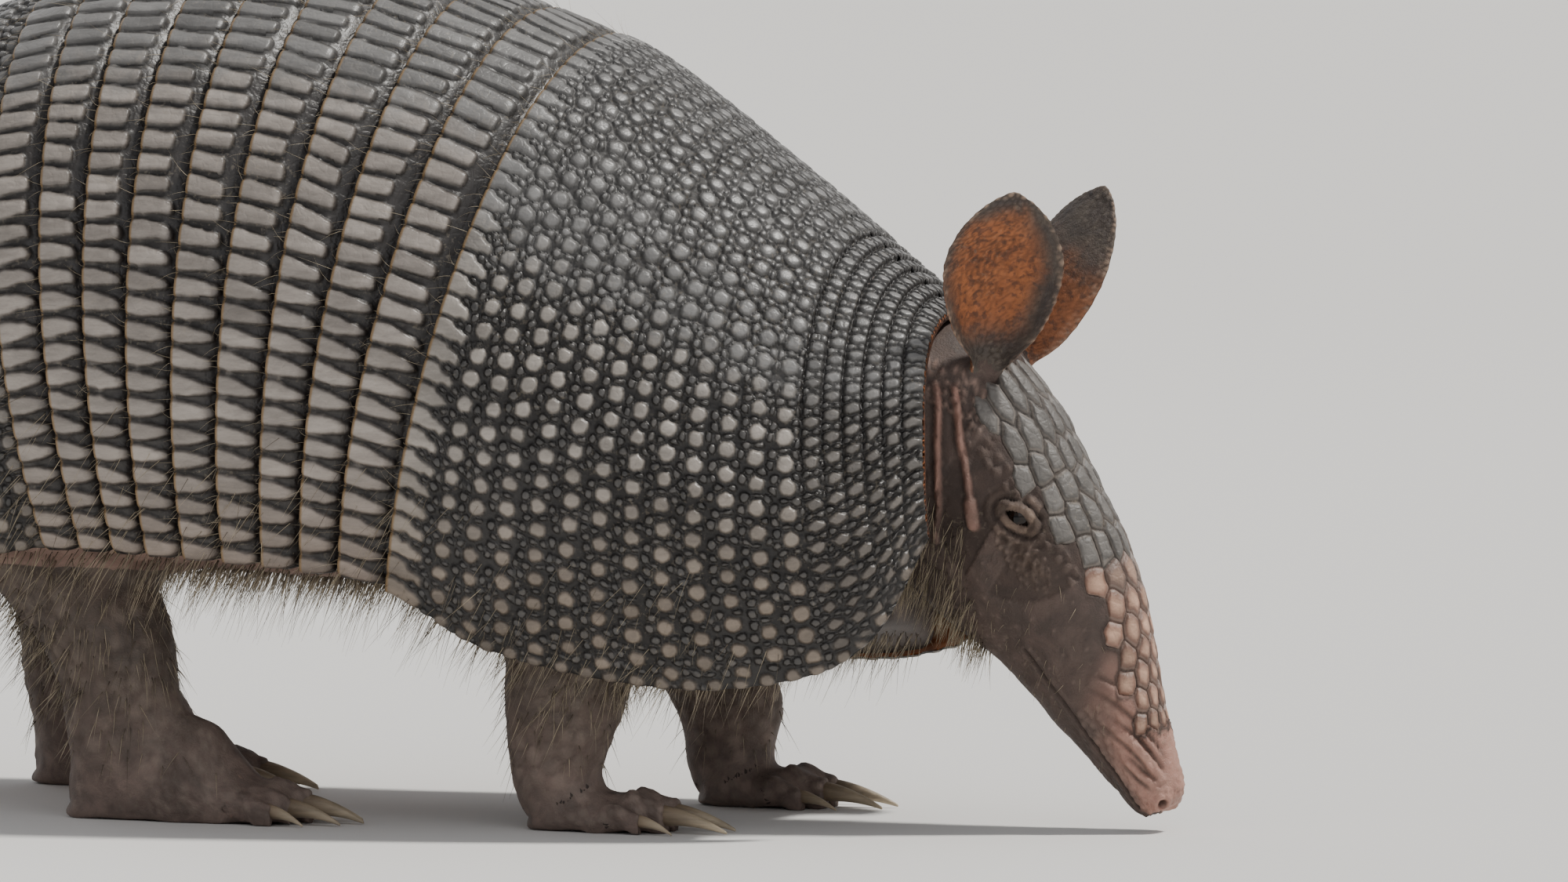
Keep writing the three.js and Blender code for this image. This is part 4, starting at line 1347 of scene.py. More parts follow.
# Granular skin of the snout tip, small far-apart scales on the cheek, tubercles at the ear root.
flat_body = body.reshape(-1, 3)
zones = [
    ("snout", snout_zone * ebb(112, 124, turned) > 0.3, 1.75, 1.05, 0.3, 0.3),
    ("cheek", (cheek * still > 0.5) & (turned < 165), 4.6, 0.6, 0.18, 0.3),
    ("under the eye", bag_mask > 0.22, 1.5, 0.85, 0.75, 0.45),
    ("ear root", (tube_along > 90) & (tube_along < 106) & (turned > 40) & (turned < 60) & on_head,
     1.8, 0.9, 1.15, 0.8),
    ("shield border", (tube_along > 55) & (tube_along < 92) & (turned > 57) & (turned < 66) & on_head,
     2.6, 1.5, 0.8, 0.3),
    ("nape", (tube_along > 98) & (turned >= 57) & (turned < 110) & on_head, 3.4, 1.0, 0.5, 0.3),
]
for number, (zone, mask, spacing, width, tall, light) in enumerate(zones):
    inside = mask.ravel()
    chosen = scatter(flat_body[inside], spacing, np.random.default_rng(200 + number))
    grains, _, _ = granules(flat_body[inside], flat_body[inside][chosen], width)
    share = np.zeros(len(flat_body))
    share[inside] = grains
    relief += tall * share.reshape(relief.shape) * calm
    pale = np.maximum(pale, light * share.reshape(relief.shape))
    print(zone, "scales", len(chosen))

# The hide dips under the head shield, and comes up at its border.
room, covered, _ = head_mosaic(tube_along, tube_angle / plate_half_angle(tube_along), body,
                               real_scale.astype(int))
near_plate = on_head & (tube_along > HEAD_PLATE_FRONT - 4) & (tube_along < HEAD_PLATE_REAR + 3)
under_plate = smoothstep(0, 1.1, room) * (covered == 1) * near_plate
relief = relief * ebb(0.05, 0.4, under_plate) - UNDER_PLATE_SINK * under_plate - 0.2
crease = np.maximum(crease, ebb(0.1, 0.7, room) * near_plate)
skin_places = body + body_normals * relief[..., None]
skin_places[..., 2] = np.maximum(skin_places[..., 2], 0.4)

snout_rose = ebb(20, 42, tube_along + 5 * broad + 0.16 * np.maximum(turned - 66, 0))
rosy = np.maximum(rosy, 0.95 * snout_rose * ebb(84, 125, turned + 12 * broad))
rosy = np.maximum(rosy, 0.3 * neck_zone * pale) * on_head
tube_values = {
    "rosy": rosy,
    # The groove layer darkens creases, fold valleys, the mouth line, the nostrils and the eye: soil in the
    # creases, and painted shade in the eye opening and the slit of the mouth.
    "groove": np.clip(crease, 0, 1),
    "pale": pale,
    "lid": np.clip(np.maximum(lid_mask, 0.7 * bag_mask), 0, 1),
    "painted_ear_glow": 0,
    "part": 0,
    "tint": 0.5 + 0.5 * value_noise(body, 2.4, 44),
}

# %% [markdown]
# ### Ears
#
# An ear is a leaf rolled into a cup: a narrow stem, a wide hollow and a rounded tip that turns
# out a little at the rim. Each slice across it is a thin closed loop, and the slices rise from
# inside the head to the tip. Both faces are covered with flat grains, like fine leather.

# %% Ear slices
# base and tip of each ear, with y outwards; the left one leans forward
EAR_PLACES = {
    -1: (np.array([56.5, 14, 111]), np.array([66.0, 25, 150])),
    1: (np.array([54.5, 14, 110.5]), np.array([71.5, 25, 150])),
}
EAR_FACING = np.array([0.55, 0.83, 0])
EAR_HALF_WIDTH = 14.2
EAR_CUP = 7.0
# share of the height, share of the half width, how deeply it is rolled
EAR_ROWS = np.array([
    [-0.1, 0.3, 1.1],
    [0, 0.36, 1.1],
    [0.15, 0.7, 1.1],
    [0.4, 0.97, 0.9],
    [0.6, 1, 0.7],
    [0.8, 0.76, 0.45],
    [0.93, 0.42, 0.2],
    [1, 0.1, 0.05],
])
EAR_THICK_ROOT, EAR_THICK_RIM = 1.7, 0.8


def ear_point(up, across, level, side):
    """A place in the ear's thickness; level runs from -1 on its back to 1 in its hollow."""
    base, tip = EAR_PLACES[side]
    table = smooth_rows(EAR_ROWS, up)
    spread, rolled = table[..., 0], table[..., 1]
    bowl = EAR_CUP * rolled * (1 - across ** 2) * np.maximum(spread, 0.5)
    thick = mix(EAR_THICK_ROOT, EAR_THICK_RIM, smoothstep(0, 0.7, up)) / 2
    # The edges curl in towards the hollow low down.
    curl = 4.8 * np.clip(np.abs(across) - 0.7, 0, 1) * ebb(0.2, 0.7, up)
    lean = -bowl + level * thick + curl
    upward = (tip - base) / np.linalg.norm(tip - base)
    facing = EAR_FACING - upward * (EAR_FACING @ upward)
    facing /= np.linalg.norm(facing)
    place = (mix(base, tip, up[..., None]) + lean[..., None] * facing
             + (across * spread * EAR_HALF_WIDTH)[..., None] * np.cross(upward, facing))
    return place * [1, side, 1]


EAR_SLICES, EAR_STEPS = 84, 46
ear_ups = np.r_[np.linspace(-0.1, 0.9, EAR_SLICES - 14), np.linspace(0.91, 0.998, 14)]
face_line = np.sin(np.linspace(-1, 1, EAR_STEPS) * np.pi / 2) * 0.35 + np.linspace(-1, 1, EAR_STEPS) * 0.65
level_line = np.clip(1 - np.abs(face_line) ** 9, 0, 1) ** 0.5
ear_loop_across = np.r_[face_line, face_line[-2:0:-1]]
ear_loop_level = np.r_[level_line, -level_line[-2:0:-1]]
EAR_GLOW_SHIFT = 0.12


# %% One ear
def skin_tube(name, grid, values, corner, size, part, ends=None):
    """One closed part of the skin, with every layer that the body has."""
    shape = grid.shape[:2]
    layers = {layer: values.get(layer, 0.0) for layer in tube_values}
    return tube_piece(name, [grid], with_ends({**layers, "part": part}, shape), corner, size, ends)


def loop_normals(grid):
    """Normals of a grid whose columns close on themselves."""
    wide = np.concatenate([grid[:, -1:], grid, grid[:, :1]], 1)
    return grid_normals(wide)[:, 1:-1]


def make_ear(side, corner):
    up, across = np.meshgrid(ear_ups, ear_loop_across, indexing="ij")
    level = np.broadcast_to(ear_loop_level, up.shape)
    grid = ear_point(up, across, level, side)
    normals = loop_normals(grid)
    normals = normals * np.sign(np.sum(normals * (grid - grid.mean(1, keepdims=True)), -1).sum())
    flat = grid.reshape(-1, 3)
    rng = np.random.default_rng(300 + side)
    chosen = scatter(flat, 1.35, rng)
    grains, mine, border = granules(flat, flat[chosen], 0.85, 0.8)
    grains, border, mine = grains.reshape(up.shape), border.reshape(up.shape), mine.reshape(up.shape)
    rim = smoothstep(0.86, 0.99, np.abs(across)) + smoothstep(0.95, 1.0, up)
    inside = level > 0
    fade = smoothstep(0.02, 0.2, up)
    height = fade * (0.2 * grains - 0.08) * np.where(inside, 0.8, 1)
    ribs = sum(bell(across - lean * up - shift, 0.1) for lean, shift in ((0.3, 0.1), (-0.35, -0.05)))
    height += 0.5 * ribs * inside * fade * ebb(0.5, 0.85, up)
    grid = grid + normals * height[..., None]
    tints = rng.uniform(0, 1, len(chosen))
    blotch = value_noise(grid, 5.5, 310)
    # Painted glow: light shining orange through thin skin is painted in the middle of the blade, less
    # towards its rear edge and tip, and low on its back.
    glow = ebb(0.5, 0.95, np.abs(across - EAR_GLOW_SHIFT) + 0.12 * blotch)
    glow *= ebb(0.7, 0.98, up + 0.1 * blotch) * smoothstep(0.02, 0.25, up)
    glow = np.where(inside, glow, 0.8 * smoothstep(0.75, 0.3, up + 0.1 * blotch))
    values = {
        "rosy": 0.1 * ebb(0.3, 0.75, up),
        "groove": np.clip(ebb(0.05, 0.35, border), 0, 1) * 0.7,
        "pale": np.clip(rim, 0, 1) * (0.15 + 0.9 * grains * (tints[mine] > 0.25)),
        "painted_ear_glow": np.clip(glow, 0, 1),
        "tint": tints[mine],
    }
    name = "ear_cup_left" if side > 0 else "ear_cup_right"
    end = ear_point(np.array([1.008]), np.zeros(1), np.zeros(1), side)[0]
    return skin_tube(name, grid, values, corner, (0.3, 0.16), 1, (grid[0].mean(0), end))

# %% [markdown]
# ### Legs and feet
#
# Short thick legs hold the shell a hand's breadth above the ground. A leg is a tapering sleeve,
# a foot is a wedge flat underneath, and each toe is a small finger laid against it, so that the
# claw grows out of something. All rest on the floor at one level.

# %% Sleeve, wedge and toe
# from inside the body down: the joint it follows, how far ahead of it, how far inwards,
# height, radius along the body, radius across it
FORE_SLEEVE = [("top", 1, 9, 80, 19, 12), ("top", 0, 3, 62, 19, 13.6), ("elbow", 0, 0, 40, 16.7, 13.2),
               ("wrist", 4, 0, 22, 12.8, 10.4), ("wrist", 2, 0, 5, 9.8, 8.8)]
HIND_SLEEVE = [("top", -2, 16, 98, 26, 12), ("top", 0, 8, 80, 25.6, 13.6), ("elbow", 0, 2, 60, 21.6, 14.6),
               ("wrist", 0, 0, 36, 15.2, 12.8), ("wrist", 1, 0, 10, 12.6, 10.8)]
# share from heel to toes, height, half width
FORE_FOOT = np.array([[0, 8, 6], [0.3, 13, 9.5], [0.7, 11, 12], [1, 6.5, 12]])
HIND_FOOT = np.array([[0, 12, 6.5], [0.3, 26, 10], [0.6, 28, 12.5], [0.85, 17, 14], [1, 8, 13.5]])
TOE_SLANT, TOE_ROUND, HEEL_ROUND, HEEL_PAD = 7.0, 6.0, 5.0, 3.2
# place across the foot, how far back, length, radius, spread
FORE_CLAWS = [(9.2, 4, 10, 1.8, 0.2), (3.5, 0, 17, 2.7, 0.05), (-3.5, 0, 16, 2.7, -0.05),
              (-9.2, 4, 11, 1.9, -0.18)]
HIND_CLAWS = [(10.8, 5, 10, 2.0, 0.22), (5.8, 2, 14, 2.5, 0.1), (0, 0, 15, 2.9, 0),
              (-5.8, 2, 14, 2.5, -0.1), (-10.8, 5, 11, 2.1, -0.2)]
CLAW_LIFT, CLAW_FLATNESS, TOE_LENGTH = 1.3, 0.75, 15.0
LEG_RINGS, LEG_SECTORS = 80, 84

LIMBS = []
for kind, reach, heel, sleeve, foot, claws, stances in (
    ("fore", 40.0, 11, FORE_SLEEVE, FORE_FOOT, FORE_CLAWS,
     ((-34, -38, -45, -15), (-34, -36, -32, -4))),
    ("hind", 45.0, 20, HIND_SLEEVE, HIND_FOOT, HIND_CLAWS,
     ((-178, -166, -152, -104), (-188, -196, -200, -152))),
):
    for side, name, stance in zip((-1, 1), ("right", "left"), stances):
        LIMBS.append({"name": f"{kind}_{name}", "side": side, "y": side * reach, "heel": heel,
                      "sleeve": sleeve, "foot": foot, "claws": claws,
                      **dict(zip(("top", "elbow", "wrist", "toes"), stance))})


def leg_grid(limb):
    rows = np.array([[limb[joint] + ahead, limb["y"] - limb["side"] * inward, *rest]
                     for joint, ahead, inward, *rest in limb["sleeve"]], float)
    table = np.column_stack([np.arange(len(rows)), rows])
    line = smooth_rows(table, np.linspace(0, len(rows) - 1, LEG_RINGS))
    x, y, z, along, across = (column[:, None] for column in line.T)
    turn = np.arange(LEG_SECTORS) * 2 * np.pi / LEG_SECTORS
    return np.stack(np.broadcast_arrays(x + along * np.cos(turn), y + across * np.sin(turn), z), -1)


def foot_grid(limb):
    forward = np.r_[0.0, 0.01, 0.03, np.linspace(0.06, 0.8, 38), 0.84, 0.87, 0.885]
    shrink = np.r_[0.45, 0.75, 0.93, np.ones(38), 0.94, 0.8, 0.55]
    f, angle = np.meshgrid(forward, np.arange(68) * 2 * np.pi / 68, indexing="ij")
    row = smooth_rows(limb["foot"], f)
    height, half = row[..., 0] * shrink[:, None], row[..., 1] * (0.5 + 0.5 * shrink[:, None])
    up = np.clip((np.sin(angle) + 0.45) / 1.45, 0, 1)
    aside = np.sign(np.cos(angle)) * np.abs(np.cos(angle)) ** 0.85
    # The sole draws in under the foot and the heel, as a pad does.
    pad = ebb(0, 0.32, up)
    y = aside * half * (1 - 0.35 * up ** 2 - 0.13 * pad)
    z = height * (1 - 0.3 * aside ** 2) * up ** 0.8
    x = mix(limb["wrist"] - limb["heel"], limb["toes"], f)
    x = x + aside ** 2 * (HEEL_ROUND * (1 - f) ** 3 - TOE_ROUND * f ** 3)
    x = x - TOE_SLANT * up * (2 * f - 1) + HEEL_PAD * pad * (1 - f) ** 6
    return np.stack([x, limb["y"] + y, z + 0.02 * up], -1)


def toe_grid(limb, claw):
    across, set_back, _, radius, spread = claw
    thick = radius * 1.32
    spread = limb["side"] * spread
    root = np.array([limb["toes"] - set_back, limb["y"] + limb["side"] * across, 0])
    way = np.array([math.cos(spread), math.sin(spread), 0])
    aside = np.array([-way[1], way[0], 0])
    share = np.r_[0.0, 0.015, 0.05, np.linspace(0.1, 0.92, 15), 0.96, 0.985, 1.0]
    bulk = np.r_[0.3, 0.6, 0.9, np.ones(15), 0.96, 0.88, 0.74]
    bulk = bulk * (1.0 + 0.1 * np.cos((share - 0.62) * 2 * np.pi * 1.3))
    turn = np.arange(28) * 2 * np.pi / 28
    reach = -TOE_LENGTH + share * (TOE_LENGTH + 1.6)
    knuckle = 2.4 * bell(share - 0.45, 0.24)
    middle = thick + CLAW_LIFT * 0.55 + knuckle
    z = middle[:, None] + (thick * bulk)[:, None] * np.sin(turn)
    z = np.where(np.sin(turn) < -0.3, np.maximum(z * ebb(-0.3, -0.8, np.sin(turn)), 0.03), z)
    wide = (thick * bulk)[:, None] * np.cos(turn)
    grid = root + reach[:, None, None] * way + wide[..., None] * aside
    grid[..., 2] = z
    return grid

# %% Melt all the tubes into one skin
body_part = skin_tube("hide", skin_places, tube_values, (0.01, 0.01), (0.98, 0.58), 0,
                      (nose_centre, skin_places[-1].mean(0) + [-0.4, 0, 0]))
soft_parts = [make_ear(-1, (0.01, 0.61)), make_ear(1, (0.33, 0.61))]
for number, limb in enumerate(LIMBS):
    left = 0.01 + 0.245 * number
    pieces = [("sleeve", leg_grid(limb), (left, 0.79), (0.12, 0.1), 2),
              ("wedge", foot_grid(limb), (left + 0.125, 0.79), (0.11, 0.1), 3)]
    pieces += [(f"toe_{toe}", toe_grid(limb, claw), (left + 0.046 * toe, 0.9), (0.042, 0.08), 4)
               for toe, claw in enumerate(limb["claws"])]
    for kind, grid, corner, size, part in pieces:
        soft_parts.append(skin_tube(f"{kind}_{limb['name']}", grid, {"tint": 0.5}, corner, size, part))

together = bpy.data.collections.new("soft_parts")
for part in soft_parts:
    bpy.context.scene.collection.objects.unlink(part)
    together.objects.link(part)
bpy.context.scene.collection.children.link(together)
melt = body_part.modifiers.new("melt", "BOOLEAN")
melt.operation = "UNION"
melt.solver = "MANIFOLD"
melt.operand_type = "COLLECTION"
melt.collection = together
graph = bpy.context.evaluated_depsgraph_get()
melted = bpy.data.meshes.new_from_object(body_part.evaluated_get(graph))
body_part.modifiers.clear()
hide_before = body_part.data
body_part.data = melted
bpy.data.meshes.remove(hide_before)
for part in soft_parts:
    mesh = part.data
    bpy.data.objects.remove(part)
    bpy.data.meshes.remove(mesh)
bpy.data.collections.remove(together)
body_part.name = "skin"
print("melted skin", len(melted.vertices), "corners", len(melted.polygons), "faces")


# %% Relax the creases where the tubes met
def read_places(mesh):
    return read(mesh.vertices, "co", 3).astype(float) / MM - [FORWARD_SHIFT, 0, 0]


def write_places(mesh, places):
    mesh.vertices.foreach_set("co", to_frame(places).astype(np.float32).ravel())
    mesh.update()


def read_layer(mesh, name):
    return read(mesh.attributes[name].data, "value").astype(float)


def write_layer(mesh, name, values):
    mesh.attributes[name].data.foreach_set("value", values.astype(np.float32))


def read_normals(mesh):
    return read(mesh.vertex_normals, "vector", 3).astype(float)


# how far from the join the skin is relaxed, for ear, leg, foot and toe
RELAX_REACH = {1: 2.2, 2: 8.0, 3: 8.0, 4: 1.7}
RELAX_ROUNDS = 100
RELAX_STEP = 0.6
GROUND = 0.02

skin_mesh = body_part.data
places = read_places(skin_mesh)
part_of = np.round(read_layer(skin_mesh, "part")).astype(int)
edges = read(skin_mesh.edges, "vertices", 2, np.int32)
crossing = part_of[edges[:, 0]] != part_of[edges[:, 1]]
joins = np.unique(edges[crossing])
join_kind = np.zeros(len(places), int)
for near, far in ((0, 1), (1, 0)):
    np.maximum.at(join_kind, edges[crossing, near], part_of[edges[crossing, far]])
join_kind = np.maximum(join_kind, part_of)
join_tree = tree_of(places[joins])
weight = np.zeros(len(places))
for index, place in enumerate(places):
    _, nearest, gap = join_tree.find(place)
    reach = RELAX_REACH[max(join_kind[joins[nearest]], 1)]
    if gap < 2.2 * reach:
        weight[index] = math.exp(-(gap / reach) ** 2)
links = np.bincount(edges.ravel(), minlength=len(places))
for _ in range(RELAX_ROUNDS):
    pulled = np.stack([
        sum(np.bincount(edges[:, near], places[edges[:, far], axis], len(places))
            for near, far in ((0, 1), (1, 0)))
        for axis in range(3)
    ], -1) / links[:, None]
    places += (RELAX_STEP * weight)[:, None] * (pulled - places)
# The corners that the melting made carry no part of their own: they take the highest one beside
# them. The ears are written as -1, so that no blend between body and leg passes their number.
for near, far in ((0, 1), (1, 0)):
    np.maximum.at(part_of, edges[:, near], part_of[edges[:, far]])
write_layer(skin_mesh, "part", np.where(part_of == 1, -1, part_of))
grounded = places[:, 2] < 0.3
places[grounded, 2] = np.clip(places[grounded, 2], GROUND, 0.3)
write_places(skin_mesh, places)
print("relaxed", int((weight > 0.1).sum()), "corners round", len(joins), "on the joins")


# %% Scales of the legs and feet
LEG_SCALE = {"spacing": 3.3, "width": 2.3, "height": 0.5, "light": 0.3}
FOOT_SCALE = {"spacing": 2.4, "width": 1.6, "height": 0.36, "light": 0.42}
normals = read_normals(skin_mesh)
pale_layer = read_layer(skin_mesh, "pale")
groove_layer = read_layer(skin_mesh, "groove")
tint_layer = read_layer(skin_mesh, "tint")
lift = np.zeros(len(places))
for number, (zone, scale) in enumerate((
    ((part_of == 2) & (places[:, 2] < 66), LEG_SCALE),
    ((part_of > 2) & (places[:, 2] > 1.5), FOOT_SCALE),
)):
    mine = np.flatnonzero(zone)
    chosen = scatter(places[mine], scale["spacing"], np.random.default_rng(400 + number))
    grains, owner, border = granules(places[mine], places[mine][chosen], scale["width"], 0.7)
    fade = smoothstep(0, 3, places[mine, 2]) * smoothstep(-0.6, 0.1, value_noise(places[mine], 9, 430))
    lift[mine] += (scale["height"] * grains - 0.12) * fade * (1 - 0.8 * weight[mine])
    pale_layer[mine] = scale["light"] * grains * fade
    groove_layer[mine] = 0.4 * ebb(0.1, 0.9, border) * fade * (1 - weight[mine])
    tint_layer[mine] = np.random.default_rng(410 + number).uniform(0, 1, len(chosen))[owner]
limb = part_of >= 2
lift[limb] += 0.5 * value_noise(places[limb], 7, 420)
places += normals * lift[:, None]
places[:, 2] = np.maximum(places[:, 2], GROUND)
write_places(skin_mesh, places)
for name, values in (("pale", pale_layer), ("groove", groove_layer), ("tint", tint_layer)):
    write_layer(skin_mesh, name, values)
skin = body_part

# %% [markdown]
# ## Claws and eyes
#
# A claw is a horn cone, rounded above and flatter below, that droops to the ground in a curve
# and carries fine lines along it. The eyeball is a plain glossy ball with a slight swelling at
# the front; its lids are part of the skin, so nothing else is needed to seat it.

# %% Claws
CLAW_ROWS, CLAW_SIDES = 24, 18


def claw_grid(limb, claw):
    across, set_back, length, radius, spread = claw
    v = np.r_[-0.16, -0.08, np.linspace(0, 0.93, CLAW_ROWS - 5), 0.965, 0.985, 1.0][:, None]
    angle = (np.arange(CLAW_SIDES) * 2 * np.pi / CLAW_SIDES)[None]
    centre_z = radius + CLAW_LIFT
    thick = radius * (1 - 0.86 * np.clip(v, 0, 1) ** 1.15) * np.where(v > 0.99, 0.55, 1)
    thick = thick * (1 + 0.035 * np.cos(angle * 6) * (v > 0)) * np.where(v < 0, 0.86, 1)
    fall = (centre_z - radius * 0.2) * np.clip(v, 0, 1) ** 2
    flat = np.where(np.cos(angle) < -0.2, 0.82, 1)
    turn = limb["side"] * spread
    return np.stack(np.broadcast_arrays(
        limb["toes"] - set_back + length * v * math.cos(turn),
        limb["y"] + limb["side"] * across + length * v * math.sin(turn)
        - np.sin(angle) * thick * CLAW_FLATNESS,
        np.maximum(centre_z - fall + np.cos(angle) * thick * flat, GROUND),
    ), -1)


claw_grids = [claw_grid(limb, claw) for limb in LIMBS for claw in limb["claws"]]
along_claw = with_ends({"tip": np.linspace(0, 1, CLAW_ROWS)[:, None]}, (CLAW_ROWS, CLAW_SIDES))["tip"]
claw_piece = tube_piece("claws", claw_grids, {"tip": np.tile(along_claw, len(claw_grids))})

# %% Eyes
EYE_RINGS, EYE_SIDES = 26, 40
CORNEA_SWELL = 0.12


def eye_piece(name, side):
    centre = EYE_CENTRE * [1, side, 1]
    gaze = head_point(EYE_PLACE[0], math.radians(EYE_PLACE[1]) * side) - centre
    gaze = unit(gaze)
    across = unit(np.cross(gaze, [0, 0, 1.0]))
    high = np.cross(across, gaze)
    polar = np.linspace(0.03, np.pi - 0.03, EYE_RINGS)[:, None]
    turn = (np.arange(EYE_SIDES) * 2 * np.pi / EYE_SIDES)[None]
    radius = EYE_RADIUS - 0.1 + CORNEA_SWELL * bell(polar, 0.45)
    grid = centre + radius[..., None] * (
        np.cos(polar)[..., None] * gaze
        + (np.sin(polar) * np.cos(turn))[..., None] * across
        + (np.sin(polar) * np.sin(turn))[..., None] * high)
    return tube_piece(name, [grid], {"polar": np.r_[np.repeat(polar, EYE_SIDES), 0, np.pi]})


eyes = {side: eye_piece(name, side) for name, side in (("eyeball_right", -1), ("eyeball_left", 1))}

# %% [markdown]
# ## Finishes
#
# Horn, hide and claw differ in colour and gloss, but soil, fine grain and scratches lie on all of
# them alike. Those are built once, as node groups, and each material gives them its own values.
# The large pattern comes from the attributes that the carving left on the meshes, so that a pale
# scute is pale exactly where it stands out.

# %% A short way to write node trees
class Wiring:
    def __init__(self, tree):
        self.tree = tree

    def node(self, kind, inputs=None, **settings):
        node = self.tree.nodes.new(kind)
        for key, value in settings.items():
            setattr(node, key, value)
        for key, value in (inputs or {}).items():
            if isinstance(value, bpy.types.NodeSocket):
                self.tree.links.new(value, node.inputs[key])
            else:
                node.inputs[key].default_value = value
        return node

    def math(self, operation, a, b=0.0):
        return self.node("ShaderNodeMath", {0: a, 1: b}, operation=operation).outputs[0]

    def times(self, a, b):
        return self.math("MULTIPLY", a, b)

    def plus(self, a, b):
        return self.math("ADD", a, b)

    def layer(self, name):
        return self.node("ShaderNodeAttribute", attribute_name=name).outputs["Fac"]

    def coords(self):
        return self.node("ShaderNodeTexCoord").outputs["Object"]

    def noise(self, scale, detail=3.0, roughness=0.55, vector=None, distortion=0.0):
        inputs = {"Vector": vector or self.coords(), "Scale": scale, "Detail": detail,
                  "Roughness": roughness, "Distortion": distortion}
        return self.node("ShaderNodeTexNoise", inputs).outputs["Fac"]

    def step(self, value, low, high, start=0.0, end=1.0):
        inputs = {"Value": value, "From Min": low, "From Max": high, "To Min": start, "To Max": end}
        return self.node("ShaderNodeMapRange", inputs, interpolation_type="SMOOTHSTEP").outputs["Result"]

    def mix(self, share, a, b, blend="MIX"):
        node = self.node("ShaderNodeMix", data_type="RGBA", blend_type=blend)
        for index, value in ((0, share), (6, a), (7, b)):
            if isinstance(value, bpy.types.NodeSocket):
                self.tree.links.new(value, node.inputs[index])
            elif index:
                node.inputs[index].default_value = (*value, 1)
            else:
                node.inputs[index].default_value = value
        return node.outputs[2]


def shader_group(name, inputs, outputs, build):
    """A shader node group with named sockets, filled in by build(wiring, input node)."""
    group = bpy.data.node_groups.new(name, "ShaderNodeTree")
    for in_out, sockets in (("INPUT", inputs), ("OUTPUT", outputs)):
        for label, default in sockets.items():
            kind = "NodeSocketColor" if isinstance(default, tuple) else "NodeSocketFloat"
            group.interface.new_socket(label, in_out=in_out, socket_type=kind).default_value = default
    wiring = Wiring(group)
    entry = group.nodes.new("NodeGroupInput")
    leave = group.nodes.new("NodeGroupOutput")
    for label, socket in build(wiring, entry.outputs).items():
        group.links.new(socket, leave.inputs[label])
    return group


# %% Soil in the grooves, with painted shade in the hide's deep creases, and pale dust on top
def build_soil_and_shade(w, given):
    patches = w.step(w.noise(38, 4), 0.42, 0.62)
    grains = w.step(w.noise(900, 2, 0.6), 0.56, 0.7)
    in_groove = w.times(given["Groove"], w.math("MULTIPLY_ADD", patches, 0.45))
    settled = w.times(w.times(patches, grains), given["Dust"])
    soiled = w.mix(in_groove, given["Color"], given["Soil"])
    dusted = w.mix(w.times(settled, 0.5), soiled, (0.34, 0.29, 0.22))
    rough = w.times(w.plus(in_groove, settled), 0.3)
    return {"Color": dusted, "Roughness": w.plus(given["Roughness"], rough)}


MIDDLE_GREY = (0.5, 0.5, 0.5, 1)
SOIL_AND_SHADE = shader_group("soil_and_shade", {"Color": MIDDLE_GREY, "Soil": (0.1, 0.08, 0.06, 1), "Groove": 0.0,
                                   "Dust": 0.4, "Roughness": 0.5},
                       {"Color": MIDDLE_GREY, "Roughness": 0.5}, build_soil_and_shade)


# %% Fine grain: pits, creases and scratches, as a height in 0..1
def build_grain(w, given):
    place = w.coords()
    pit_cells = w.node("ShaderNodeTexVoronoi", {"Vector": place, "Scale": given["Pit Scale"]})
    pits = pit_cells.outputs["Distance"]
    bent = w.node("ShaderNodeTexNoise", {"Vector": place, "Scale": given["Crease Scale"], "Detail": 1.0})
    strayed = w.mix(0.0012, place, bent.outputs["Color"], "ADD")
    cells = w.node("ShaderNodeTexVoronoi", {"Vector": strayed, "Scale": given["Crease Scale"]},
                   feature="DISTANCE_TO_EDGE").outputs["Distance"]
    height = w.plus(w.times(w.step(pits, 0.0, 0.45), given["Pits"]),
                    w.times(w.step(cells, 0.0, 0.2), given["Creases"]))
    leather = w.times(w.noise(1700, 4, 0.7, place), 0.9)
    height = w.plus(height, leather)
    blotches = w.noise(130, 5, 0.68, place, 0.8)
    return {"Height": height, "Blotches": w.step(blotches, 0.3, 0.7)}


GRAIN = shader_group("fine_grain", {"Pit Scale": 900.0, "Crease Scale": 300.0, "Pits": 0.5, "Creases": 0.5},
                     {"Height": 0.0, "Blotches": 0.0}, build_grain)


def grain_node(w, pit_scale, crease_scale, pits, creases):
    """The grain with one material's own values: its height and its blotches."""
    inputs = {"Pit Scale": pit_scale, "Crease Scale": crease_scale, "Pits": pits, "Creases": creases}
    node = w.node("ShaderNodeGroup", inputs, node_tree=GRAIN)
    return node.outputs["Height"], node.outputs["Blotches"]


def new_material(name):
    material = bpy.data.materials.new(name)
    material.use_nodes = True
    shader = material.node_tree.nodes["Principled BSDF"]
    return material, Wiring(material.node_tree), shader


def finish_material(w, shader, color, groove, roughness, soil, dust, grain, relief, distance):
    """Soil the colour, with painted shade in the hide's deep creases, and press the grain's height into the
    normal.
    """
    soil_and_shade = w.node("ShaderNodeGroup", node_tree=SOIL_AND_SHADE)
    for label, value in (("Color", color), ("Groove", groove), ("Roughness", roughness)):
        w.tree.links.new(value, soil_and_shade.inputs[label])
    soil_and_shade.inputs["Soil"].default_value = (*soil, 1)
    soil_and_shade.inputs["Dust"].default_value = dust
    w.tree.links.new(soil_and_shade.outputs["Color"], shader.inputs["Base Color"])
    w.tree.links.new(soil_and_shade.outputs["Roughness"], shader.inputs["Roughness"])
    bump = w.node("ShaderNodeBump", {"Height": relief, "Strength": grain, "Distance": distance})
    w.tree.links.new(bump.outputs["Normal"], shader.inputs["Normal"])


